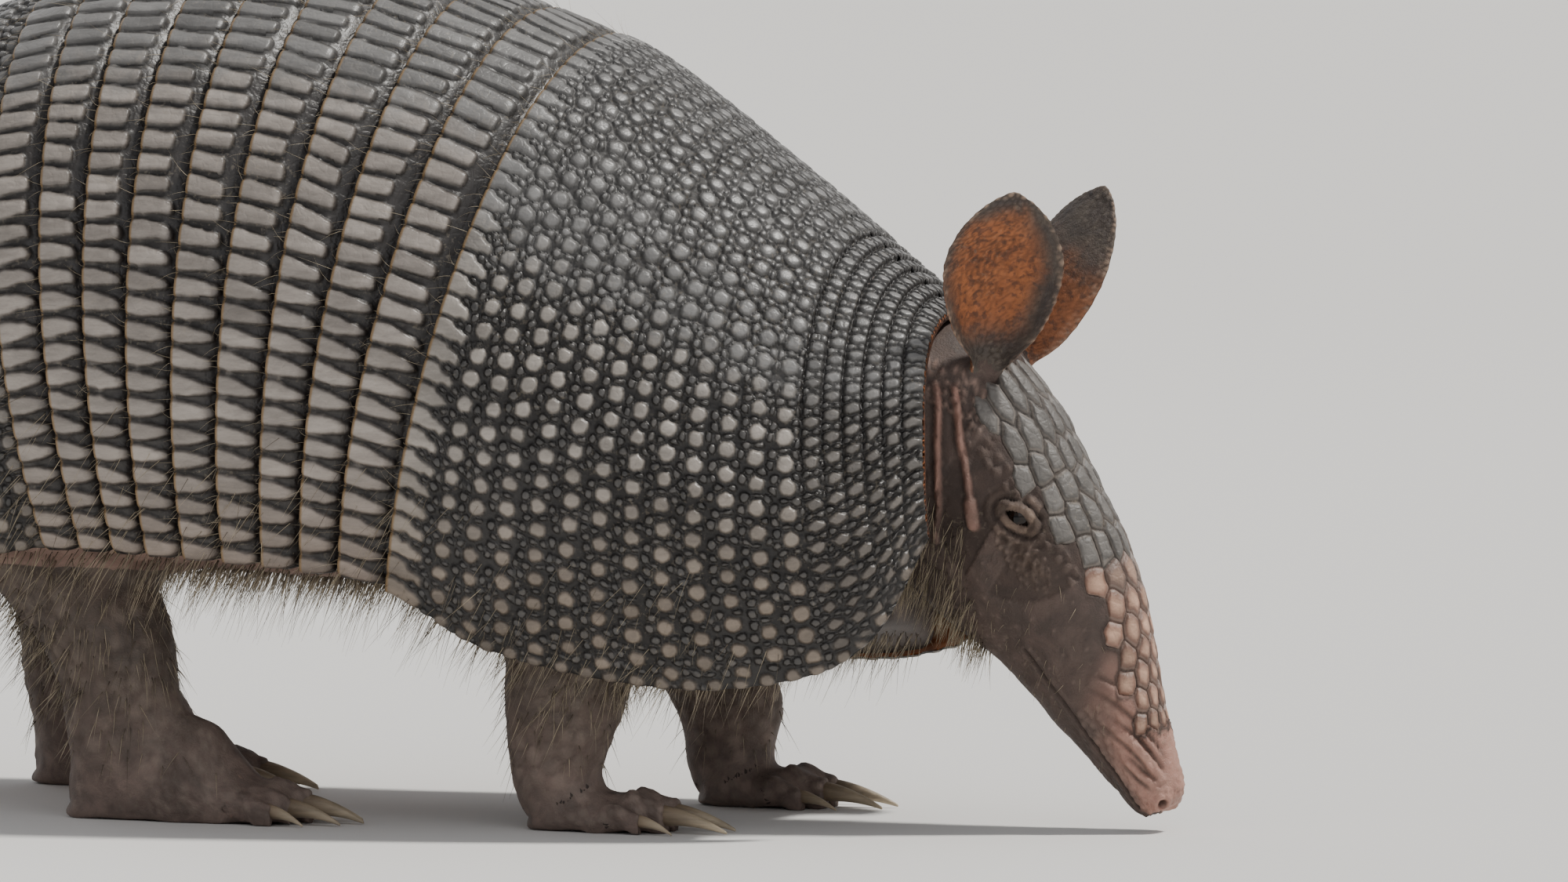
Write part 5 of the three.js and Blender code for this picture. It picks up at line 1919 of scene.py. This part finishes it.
# %% [markdown]
# ### Horn of the shell, the head shield and the tail
#
# Low on the flanks the large scutes are cream and everything between them nearly black. Towards
# the back both turn to one slate grey with a worn gloss, and near the lower rim the cream goes
# brown. The head shield is slate too, but its scales turn flesh-coloured down the snout, each
# palest in its middle. One recipe with different colours serves for all.

# %% Horn
GROOVE_SOIL = (0.016, 0.014, 0.013)
EDGE_BROWN = (0.26, 0.165, 0.075)


def horn_material(name, flank, back, low_tone=None, head=False, fade=1.0, groove_width=0.42):
    """flank and back are (small scale, large scute) colours; fade is how softly the two meet, in mm."""
    material, w, shader = new_material(name)
    border, light, tint = w.layer("border"), w.layer("light"), w.layer("tint")
    grain, blotch = grain_node(w, 1300.0, 420.0, 0.35, 0.65)
    place = w.node("ShaderNodeSeparateXYZ", {0: w.coords()})
    uneven = w.plus(w.layer("back"), w.times(w.math("SUBTRACT", blotch, 0.5), 0.35))
    upper = w.step(uneven, 0.1, 0.9)
    small = w.mix(upper, flank[0], back[0])
    large = w.mix(upper, flank[1], back[1])
    if low_tone:
        low = w.step(place.outputs["Z"], 0.1, 0.05)
        large = w.mix(w.times(low, 0.75), large, low_tone)
    # The lightness fades softly from the middle of a scute to its border.
    wander = w.times(w.math("SUBTRACT", w.noise(700, 3), 0.5), 0.5)
    pale = w.times(w.step(w.plus(border, wander), 0.0, fade), light)
    # A small scale is as dark as its grooves at its edge, and its top is lightened towards white: a painted
    # highlight of its gloss.
    rise = w.times(border, w.step(light, 0.0, 0.6, 1.7, 1.0))
    foot = w.mix(w.step(upper, 0, 1, 0.6, 0.25), small, GROOVE_SOIL)
    small = w.mix(w.step(rise, 0.25, 1.2), foot,
                  w.mix(w.step(upper, 0, 1, 0.05, 0.14), small, (0.5, 0.49, 0.48)))
    color = w.mix(pale, small, large)
    if head:
        flesh = w.mix(w.step(border, 0.3, 1.9), (0.21, 0.115, 0.085), (0.52, 0.325, 0.23))
        color = w.mix(w.layer("rosy"), color, flesh)
        # Painted highlight: a thin light line along the raised edge of each scale, beside its groove.
        rim = w.times(w.step(border, 0.6, 0.35), w.step(border, 0.1, 0.25))
        color = w.mix(w.times(rim, 0.35), color, (0.34, 0.29, 0.25))
    shade = w.node("ShaderNodeMath", {0: tint, 1: 0.4, 2: 0.8}, operation="MULTIPLY_ADD").outputs[0]
    color = w.mix(1.0, color, shade, "MULTIPLY")
    streak = w.noise(160, 5, 0.7, w.node("ShaderNodeMapping", {
        "Vector": w.coords(), "Scale": (0.35, 1.6, 1.6)}).outputs[0])
    color = w.mix(1.0, color, w.step(streak, 0.3, 0.72, 0.75, 1.2), "MULTIPLY")
    color = w.mix(w.times(w.step(w.layer("edge"), 1.0, 0.45), 0.9), color, EDGE_BROWN)
    # Painted shade: the sunk fronts of the bands and of the hip shield, and the slots between the front
    # slats, are painted near black.
    color = w.mix(w.times(w.layer("sunk"), 0.92), color, (0.011, 0.009, 0.009))
    # Painted glow: the rims and inner faces of the plates are orange, as if light shone through their thin
    # edges.
    if low_tone:
        painted_rim_glow = w.mix(w.noise(170, 4), (0.3, 0.085, 0.03), (0.62, 0.22, 0.07))
        color = w.mix(w.step(w.layer("inside"), 0.35, 1.0), color, painted_rim_glow)
    crumbs = w.step(w.noise(1100, 2), 0.6, 0.72)
    groove = w.step(w.math("ABSOLUTE", rise), groove_width, 0.06)
    groove = w.times(groove, w.step(crumbs, 0, 1, 1.0, 0.55))
    gloss = w.step(upper, 0, 1, 0.46 if head else 0.31, 0.44 if head else 0.29)
    roughness = w.plus(gloss, w.times(w.noise(240, 4), 0.16))
    soil = (0.07, 0.055, 0.046) if head else GROOVE_SOIL
    relief = w.plus(w.times(grain, 0.2 if head else 0.13), w.step(rise, 0.0, 1.05))
    finish_material(w, shader, color, groove, roughness, soil, 0.45, 1.0, relief, 0.0005)
    return material


SHELL_FLANK = ((0.036, 0.034, 0.033), (0.33, 0.3, 0.268))
SHELL_BACK = ((0.12, 0.118, 0.116), (0.18, 0.177, 0.173))
BAND_FLANK = ((0.04, 0.034, 0.031), (0.32, 0.285, 0.255))
BAND_BACK = ((0.115, 0.112, 0.109), (0.185, 0.181, 0.176))
HEAD_SLATE = ((0.08, 0.073, 0.067), (0.148, 0.138, 0.127))
shell_horn = horn_material("shell_horn", SHELL_FLANK, SHELL_BACK, (0.16, 0.118, 0.082))
band_horn = horn_material("band_horn", BAND_FLANK, BAND_BACK, (0.21, 0.155, 0.12),
                          fade=1.5, groove_width=0.34)
head_horn = horn_material("head_horn", SHELL_FLANK, HEAD_SLATE, head=True, groove_width=0.26)
tail_horn = horn_material("tail_horn", ((0.06, 0.055, 0.052), (0.27, 0.235, 0.19)),
                          ((0.1, 0.095, 0.09), (0.22, 0.2, 0.17)))

# %% [markdown]
# ### Hide
#
# Bare hide is dark brown on the cheek, flesh-pink on the snout and along the folds, and sooty
# on the ears, except in the middle of the blade, where the orange glow of light through thin
# skin is painted in. The belly is paler, and the legs are brown with greyer scales.

# %% Hide
def hide_material():
    material, w, shader = new_material("hide")
    part, pale, groove, tint = w.layer("part"), w.layer("pale"), w.layer("groove"), w.layer("tint")
    grain, blotch = grain_node(w, 1500.0, 900.0, 0.3, 0.3)
    place = w.node("ShaderNodeSeparateXYZ", {0: w.coords()})
    is_ear = w.math("COMPARE", part, -1.0)
    is_ear.node.inputs[2].default_value = 0.45
    is_limb = w.step(part, 1.4, 1.9)
    is_foot = w.step(place.outputs["Z"], 0.04, 0.006)

    cheek = w.mix(blotch, (0.06, 0.041, 0.034), (0.105, 0.072, 0.06))
    belly = w.mix(blotch, (0.2, 0.125, 0.1), (0.3, 0.2, 0.16))
    behind = w.step(place.outputs["X"], FORWARD_SHIFT * MM - 0.05, FORWARD_SHIFT * MM - 0.1)
    color = w.mix(behind, cheek, belly)
    limb = w.mix(blotch, (0.062, 0.045, 0.036), (0.115, 0.084, 0.067))
    foot = w.mix(blotch, (0.125, 0.09, 0.075), (0.22, 0.16, 0.135))
    color = w.mix(is_limb, color, w.mix(is_foot, limb, foot))
    scale_color = w.mix(is_limb, (0.3, 0.22, 0.18), w.mix(tint, (0.16, 0.13, 0.11), (0.27, 0.225, 0.185)))
    color = w.mix(w.times(pale, 0.85), color, scale_color)
    flesh = w.mix(w.noise(210, 4), (0.36, 0.17, 0.13), (0.52, 0.31, 0.24))
    color = w.mix(w.times(w.layer("rosy"), 0.9), color, flesh)
    color = w.mix(w.times(w.layer("lid"), 0.75), color, w.mix(blotch, (0.12, 0.078, 0.057),
                                                                         (0.27, 0.19, 0.135)))
    # painted shade: the hollow between shield, throat and breast is darkened, where shade falls
    hollow = w.times(w.step(place.outputs["Z"], 0.08, 0.062),
                    w.step(place.outputs["X"], FORWARD_SHIFT * MM + 0.055, FORWARD_SHIFT * MM + 0.03))
    hollow = w.times(hollow, w.math("SUBTRACT", w.math("SUBTRACT", 1.0, behind), is_limb))
    color = w.mix(hollow, color, w.mix(blotch, (0.03, 0.021, 0.018), (0.06, 0.043, 0.036)))
    sooty = w.mix(blotch, (0.05, 0.04, 0.037), (0.105, 0.085, 0.068))
    speckle = w.step(w.noise(520, 2), 0.5, 0.64)
    # Painted glow: the ears are orange, speckled dark, where light would shine through their thin skin.
    glow = w.mix(w.noise(120, 4), (0.27, 0.075, 0.022), (0.46, 0.16, 0.05))
    glow = w.mix(w.times(speckle, 0.7), glow, (0.1, 0.035, 0.018))
    ear = w.mix(w.times(w.layer("painted_ear_glow"), 0.92), sooty, glow)
    ear = w.mix(w.times(pale, 0.8), ear, (0.33, 0.23, 0.165))
    color = w.mix(is_ear, color, ear)
    shade = w.math("MULTIPLY_ADD", tint, 0.3)
    shade.node.inputs[2].default_value = 0.85
    color = w.mix(1.0, color, shade, "MULTIPLY")
    roughness = w.plus(w.step(w.layer("rosy"), 0, 1, 0.62, 0.46), w.times(blotch, 0.12))
    finish_material(w, shader, color, groove, roughness, (0.032, 0.022, 0.018), 0.35, 0.65,
                    grain, 0.0002)
    return material


hide = hide_material()


# %% Claw horn, eye and bristle
def claw_material():
    material, w, shader = new_material("claw_horn")
    tip = w.layer("tip")
    lines = w.noise(130, 4, 0.6, w.node("ShaderNodeMapping", {
        "Vector": w.coords(), "Scale": (0.25, 3.0, 3.0)}).outputs[0])
    color = w.mix(w.step(tip, 0.05, 0.75), (0.2, 0.145, 0.095), (0.46, 0.38, 0.27))
    color = w.mix(1.0, color, w.step(lines, 0.3, 0.7, 0.62, 1.12), "MULTIPLY")
    grain, _ = grain_node(w, 1100.0, 260.0, 0.2, 0.8)
    groove = w.step(tip, 0.16, 0.0)
    roughness = w.plus(w.step(tip, 0, 1, 0.5, 0.34), w.times(lines, 0.12))
    finish_material(w, shader, color, groove, roughness, (0.06, 0.045, 0.03), 0.7, 0.4,
                    grain, 0.00012)
    return material


def eye_material():
    material, w, shader = new_material("eye_gloss")
    polar = w.layer("polar")
    fibres = w.noise(2600, 3)
    iris = w.mix(fibres, (0.006, 0.004, 0.003), (0.02, 0.011, 0.007))
    color = w.mix(w.step(polar, 0.62, 0.5), (0.012, 0.008, 0.007), iris)
    color = w.mix(w.step(polar, 0.3, 0.24), color, (0.002, 0.002, 0.002))
    w.tree.links.new(color, shader.inputs["Base Color"])
    wet = w.step(w.noise(400, 2), 0.3, 0.7, 0.05, 0.14)
    w.tree.links.new(wet, shader.inputs["Roughness"])
    shader.inputs["Coat Weight"].default_value = 0.05
    shader.inputs["Specular IOR Level"].default_value = 0.28
    shader.inputs["Coat Roughness"].default_value = 0.05
    return material


def bristle_material():
    material, w, shader = new_material("bristle")
    root = w.step(w.layer("strand"), 0.0, 0.35)
    color = w.mix(w.layer("shade"), (0.07, 0.05, 0.035), (0.5, 0.42, 0.29))
    color = w.mix(root, w.mix(0.6, color, (0.05, 0.035, 0.025)), color)
    color = w.mix(1.0, color, w.step(w.noise(300, 2), 0.3, 0.7, 0.85, 1.15), "MULTIPLY")
    w.tree.links.new(color, shader.inputs["Base Color"])
    w.tree.links.new(w.step(w.noise(500, 2), 0.2, 0.8, 0.4, 0.6), shader.inputs["Roughness"])
    return material


claw_horn = claw_material()
eye_gloss = eye_material()
bristle = bristle_material()

# %% [markdown]
# ## Bristles
#
# An armadillo is nearly bald, but stiff hairs hang in a fringe from the belly, sprout from under
# the edge of every band and stand thinly on throat, cheeks and legs. One bent, tapering bristle
# is modelled inside a Geometry Nodes tree and set on root points that carry their own direction,
# length and shade. The tree realizes them, so each stand of hair becomes an ordinary mesh.

# %% The tree that sets bristles on roots
def bristle_tree():
    tree = bpy.data.node_groups.new("bristles", "GeometryNodeTree")
    face = tree.interface
    face.new_socket("Roots", in_out="INPUT", socket_type="NodeSocketGeometry")
    for label, default in (("Thickness", 0.00018), ("Bend", 0.35)):
        face.new_socket(label, in_out="INPUT", socket_type="NodeSocketFloat").default_value = default
    face.new_socket("Finish", in_out="INPUT", socket_type="NodeSocketMaterial")
    face.new_socket("Bristles", in_out="OUTPUT", socket_type="NodeSocketGeometry")
    w = Wiring(tree)
    entry = tree.nodes.new("NodeGroupInput").outputs
    leave = tree.nodes.new("NodeGroupOutput")

    cone = w.node("GeometryNodeMeshCone", {
        "Vertices": 3, "Side Segments": 4, "Radius Top": 0.12, "Radius Bottom": 1.0, "Depth": 1.0,
    }, fill_type="NGON")
    here = w.node("GeometryNodeInputPosition").outputs[0]
    height = w.node("ShaderNodeSeparateXYZ", {0: here}).outputs["Z"]
    strand = w.node("GeometryNodeStoreNamedAttribute", {
        "Geometry": cone.outputs["Mesh"], "Name": "strand", "Value": height,
    }, data_type="FLOAT", domain="POINT").outputs[0]

    def root_value(name, kind="FLOAT"):
        found = w.node("GeometryNodeInputNamedAttribute", {"Name": name}, data_type=kind)
        return found.outputs["Attribute"]

    upright = w.node("FunctionNodeAlignRotationToVector", {"Vector": root_value("lie", "FLOAT_VECTOR")},
                     axis="Z").outputs[0]
    turned = w.node("FunctionNodeAlignRotationToVector", {
        "Rotation": upright, "Vector": root_value("fall", "FLOAT_VECTOR"),
    }, axis="X", pivot_axis="Z").outputs[0]
    size = w.node("ShaderNodeCombineXYZ", {
        "X": entry["Thickness"], "Y": entry["Thickness"], "Z": root_value("long")}).outputs[0]
    stood = w.node("GeometryNodeInstanceOnPoints", {
        "Points": entry["Roots"], "Instance": strand, "Rotation": turned, "Scale": size}).outputs[0]
    real = w.node("GeometryNodeRealizeInstances", {"Geometry": stood}).outputs[0]
    # Each bristle bends towards its fall, most at the tip.
    bend = w.times(w.math("POWER", root_value("strand"), 2.0), entry["Bend"])
    reach = w.times(bend, root_value("long"))
    offset = w.node("ShaderNodeVectorMath", {0: root_value("fall", "FLOAT_VECTOR"), "Scale": reach},
                    operation="SCALE").outputs[0]
    bent = w.node("GeometryNodeSetPosition", {"Geometry": real, "Offset": offset}).outputs[0]
    smooth = w.node("GeometryNodeSetShadeSmooth", {"Geometry": bent}).outputs[0]
    finished = w.node("GeometryNodeSetMaterial", {"Geometry": smooth, "Material": entry["Finish"]})
    tree.links.new(finished.outputs[0], leave.inputs["Bristles"])
    return tree


BRISTLE_TREE = bristle_tree()
TUFT_PATCH = 0.003


def plant(name, roots, lie, fall, long, shade, unwrap, thickness, bend):
    """A stand of bristles as a plain mesh: roots in table millimetres, lengths in millimetres."""
    mesh = bpy.data.meshes.new(name + "_roots")
    mesh.from_pydata(to_frame(roots).tolist(), [], [])
    for layer, values in (("lie", unit(lie)), ("fall", unit(fall))):
        mesh.attributes.new(layer, "FLOAT_VECTOR", "POINT").data.foreach_set(
            "vector", values.astype(np.float32).ravel())
    for layer, values in (("long", long * MM), ("shade", shade), ("root_u", unwrap[:, 0]),
                          ("root_v", unwrap[:, 1])):
        mesh.attributes.new(layer, "FLOAT", "POINT").data.foreach_set("value", values.astype(np.float32))
    holder = show(bpy.data.objects.new(name, mesh))
    modifier = holder.modifiers.new("bristles", "NODES")
    modifier.node_group = BRISTLE_TREE
    sockets = {item.name: item.identifier for item in BRISTLE_TREE.interface.items_tree
               if item.in_out == "INPUT"}
    modifier[sockets["Thickness"]] = thickness * MM
    modifier[sockets["Bend"]] = bend
    modifier[sockets["Finish"]] = bristle
    graph = bpy.context.evaluated_depsgraph_get()
    hair = bpy.data.meshes.new_from_object(holder.evaluated_get(graph))
    holder.modifiers.clear()
    holder.data = hair
    bpy.data.meshes.remove(mesh)

    corners = read(hair.loops, "vertex_index", kind=np.int32)
    root_u, root_v, strand = (read_layer(hair, layer) for layer in ("root_u", "root_v", "strand"))
    around = np.arange(len(strand)) % 3 / 2
    uv = np.stack([root_u + TUFT_PATCH * (around - 0.5), root_v + TUFT_PATCH * (strand - 0.5)], -1)
    uv = np.clip(uv, 0.0005, 0.9995)
    for layer in list(hair.uv_layers):
        hair.uv_layers.remove(layer)
    hair.uv_layers.new(name="OFBake").data.foreach_set("uv", uv[corners].astype(np.float32).ravel())
    hair.name = name
    print(name, "bristles", len(roots), "triangles", sum(len(p.vertices) - 2 for p in hair.polygons))
    return holder


# %% Roots drawn over the skin
skin_faces = read(skin_mesh.loops, "vertex_index", kind=np.int32)
skin_sides = read(skin_mesh.polygons, "loop_total", kind=np.int32)
skin_starts = np.cumsum(skin_sides) - skin_sides
skin_uv = read(skin_mesh.uv_layers["OFBake"].data, "uv", 2)
skin_normals = read_normals(skin_mesh)
fans = [skin_starts[skin_sides >= 3 + k] for k in range(2)]
triangle_corners = np.concatenate([fans[k][:, None] + [0, k + 1, k + 2] for k in range(2)])
triangle_places = read_places(skin_mesh)[skin_faces[triangle_corners]]
triangle_normals = skin_normals[skin_faces[triangle_corners]].mean(1)
side_a, side_b = (triangle_places[:, k] - triangle_places[:, 0] for k in (1, 2))
triangle_areas = 0.5 * np.linalg.norm(np.cross(side_a, side_b), axis=-1)


def draw_roots(density, count, seed):
    """Root places, normals and unwrap places, drawn by area times density."""
    rng = np.random.default_rng(seed)
    weight = triangle_areas * density
    chosen = np.searchsorted(np.cumsum(weight) / weight.sum(), rng.uniform(0, 1, count))
    chosen = np.minimum(chosen, len(weight) - 1)
    share = rng.dirichlet((1, 1, 1), count)
    roots = np.einsum("ij,ijk->ik", share, triangle_places[chosen])
    unwrap = np.einsum("ij,ijk->ik", share, skin_uv[triangle_corners[chosen]])
    return roots - 0.25 * triangle_normals[chosen], triangle_normals[chosen], unwrap, rng


x, y, z = triangle_places.mean(1).T
x_normal, _, z_normal = triangle_normals.T
throat_way = np.clip(-triangle_normals @ [-0.6, 0, 0.8], 0, 1)
DENSITY = {
    "belly": (x > -262) * (x < 20) * (z > 28) * np.clip(-z_normal, 0, 1),
    "throat": (x > 0) * (x < 52) * (z > 18) * (z < 84) * throat_way * (np.abs(y) < 22) * (x_normal < 0.0),
    "cheek": (x > 18) * (x < 84) * (z < 60) * (np.abs(triangle_normals[:, 1]) > 0.55) * 1.0,
    "leg": ((x < 0) * (z < 64) * (z > 12.5) * (np.abs(z_normal) < 0.75) * (np.abs(y) > 20)
            * np.where(z > 30, 1.6, 0.5)),
}


def belly_length(roots, rng):
    """Longest near the rim of the shell."""
    return mix(6.5, 12.5, smoothstep(30, 62, np.abs(roots[:, 1]))) * rng.uniform(0.6, 1.25, len(roots))


# count, seed, share of the normal in the lie, lie and its spread, fall and its spread, thickness, bend
STANDS = {
    "belly": (7200, 501, 0.55, (-0.55, 0, -0.75), 0.22, (-0.4, 0, -1.0), 0.35, 0.13, 0.3),
    "throat": (950, 502, 1.0, (0.1, 0, -0.9), 0.25, (-0.2, 0, -1.0), 0.3, 0.12, 0.3),
    "cheek": (130, 503, 0.5, (-0.25, 0, -0.8), 0.3, (0.1, 0, -1.0), 0.4, 0.085, 0.45),
    "leg": (2100, 504, 0.55, (0, 0, -1.0), 0.22, (-0.2, 0, -1.0), 0.3, 0.12, 0.3),
}
LENGTHS = {
    "belly": belly_length,
    "throat": lambda roots, rng: rng.uniform(3.5, 8.5, len(roots)),
    "cheek": lambda roots, rng: rng.uniform(1.2, 3.4, len(roots)),
    "leg": lambda roots, rng: rng.uniform(3, 8, len(roots)),
}
SHADES = {
    "belly": lambda rng, count: np.clip(rng.beta(1.2, 1.2, count), 0, 1),
    "throat": lambda rng, count: rng.uniform(0, 1, count) ** 0.7,
    "cheek": lambda rng, count: rng.uniform(0.35, 1, count),
    "leg": lambda rng, count: rng.uniform(0, 0.9, count),
}
hairs = []
for zone, row in STANDS.items():
    count, seed, stand, lie_way, lie_spread, fall_way, fall_spread, thickness, bend = row
    roots, out, unwrap, rng = draw_roots(DENSITY[zone], count, seed)
    lie = unit(stand * out + (np.array(lie_way) + rng.normal(0, lie_spread, (count, 3))))
    fall = unit(np.array(fall_way) + rng.normal(0, fall_spread, (count, 3)))
    long = LENGTHS[zone](roots, rng)
    shade = SHADES[zone](rng, count)
    hairs.append(plant(zone + "_bristles", roots, lie, fall, long, shade, unwrap, thickness, bend))

# %% Hairs from under the edges of the bands
def band_edge_roots(rng):
    """Roots in the joints behind the shoulder shield and every band, a few to each wedge."""
    roots, out, lie, fall, long, unwrap = [], [], [], [], [], []
    for joint in range(0, BANDS + 1):
        count = 200
        angle = RIM_ANGLE * (2 * (np.arange(count) + rng.uniform(0, 1, count)) / count - 1)
        angle = np.clip(angle, -RIM_ANGLE + 0.01, RIM_ANGLE - 0.01)
        station = np.full(count, joint + 0.05)
        place = shell_point(station, angle, 1.0)
        above = shell_point(station, angle, 0.0)
        behind = shell_point(station + 0.2, angle, 1.0)
        back = unit(behind - place)
        up = unit(above - place)
        roots.append(place)
        lie.append(unit(back + 0.16 * up + rng.normal(0, 0.16, (count, 3))))
        fall.append(unit(rng.normal(0, 1, (count, 3)) + 0.4 * up + [0, 0, -0.5]))
        long.append(rng.uniform(2.0, 7.0, count) * mix(1.2, 0.7, np.abs(angle) / RIM_ANGLE))
        unwrap.append(np.stack([0.5 + 0.45 * angle / RIM_ANGLE,
                                np.full(count, 0.05 + 0.9 * joint / BANDS)], -1))
    return (np.concatenate(v) for v in (roots, lie, fall, long, unwrap))


rng = np.random.default_rng(505)
roots, lie, fall, long, unwrap = band_edge_roots(rng)
shade = rng.uniform(0.45, 1, len(roots))
hairs.append(plant("band_bristles", roots, lie, fall, long, shade, unwrap, 0.06, 0.9))

# %% [markdown]
# ## Hang everything on the frame
#
# Each piece rides on the one body that the model has, and the plain solids that it stands for are hidden.

# %% Materials and places
def place_on_frame(piece, slot, material, *nodes):
    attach(piece, "root")
    if nodes:
        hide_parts(*nodes)
    if material is not None:
        piece.data.materials.clear()
        piece.data.materials.append(material)


SIDES = ("right", "left")
for piece in scapular_halves:
    place_on_frame(piece, "shell", shell_horn, "scapular_shield")
for piece in pelvic_halves:
    place_on_frame(piece, "shell", shell_horn, "pelvic_shield")
for band, piece in enumerate(bands, 1):
    place_on_frame(piece, "shell", band_horn, f"band_{band}")
place_on_frame(head_shield, "shell", head_horn, "head_shield")
place_on_frame(tail, "tail_armour", tail_horn, "tail_base", "tail_middle", "tail_tip")
flesh_nodes = ["head", "lower_jaw", "neck", "trunk"]
for side in SIDES:
    flesh_nodes += [f"{part}_{side}" for part in ("ear", "foreleg", "forefoot", "hindleg", "hindfoot")]
place_on_frame(skin, "skin", hide, *flesh_nodes)
claw_nodes = [f"{leg}claw_{side}_{toe}" for leg, toes in (("fore", 4), ("hind", 5))
              for side in SIDES for toe in range(1, toes + 1)]
place_on_frame(claw_piece, "claw", claw_horn, *claw_nodes)
place_on_frame(eyes[-1], "eye", eye_gloss, "eye_right")
place_on_frame(eyes[1], "eye", eye_gloss, "eye_left")
for hair in hairs:
    place_on_frame(hair, "skin", None)
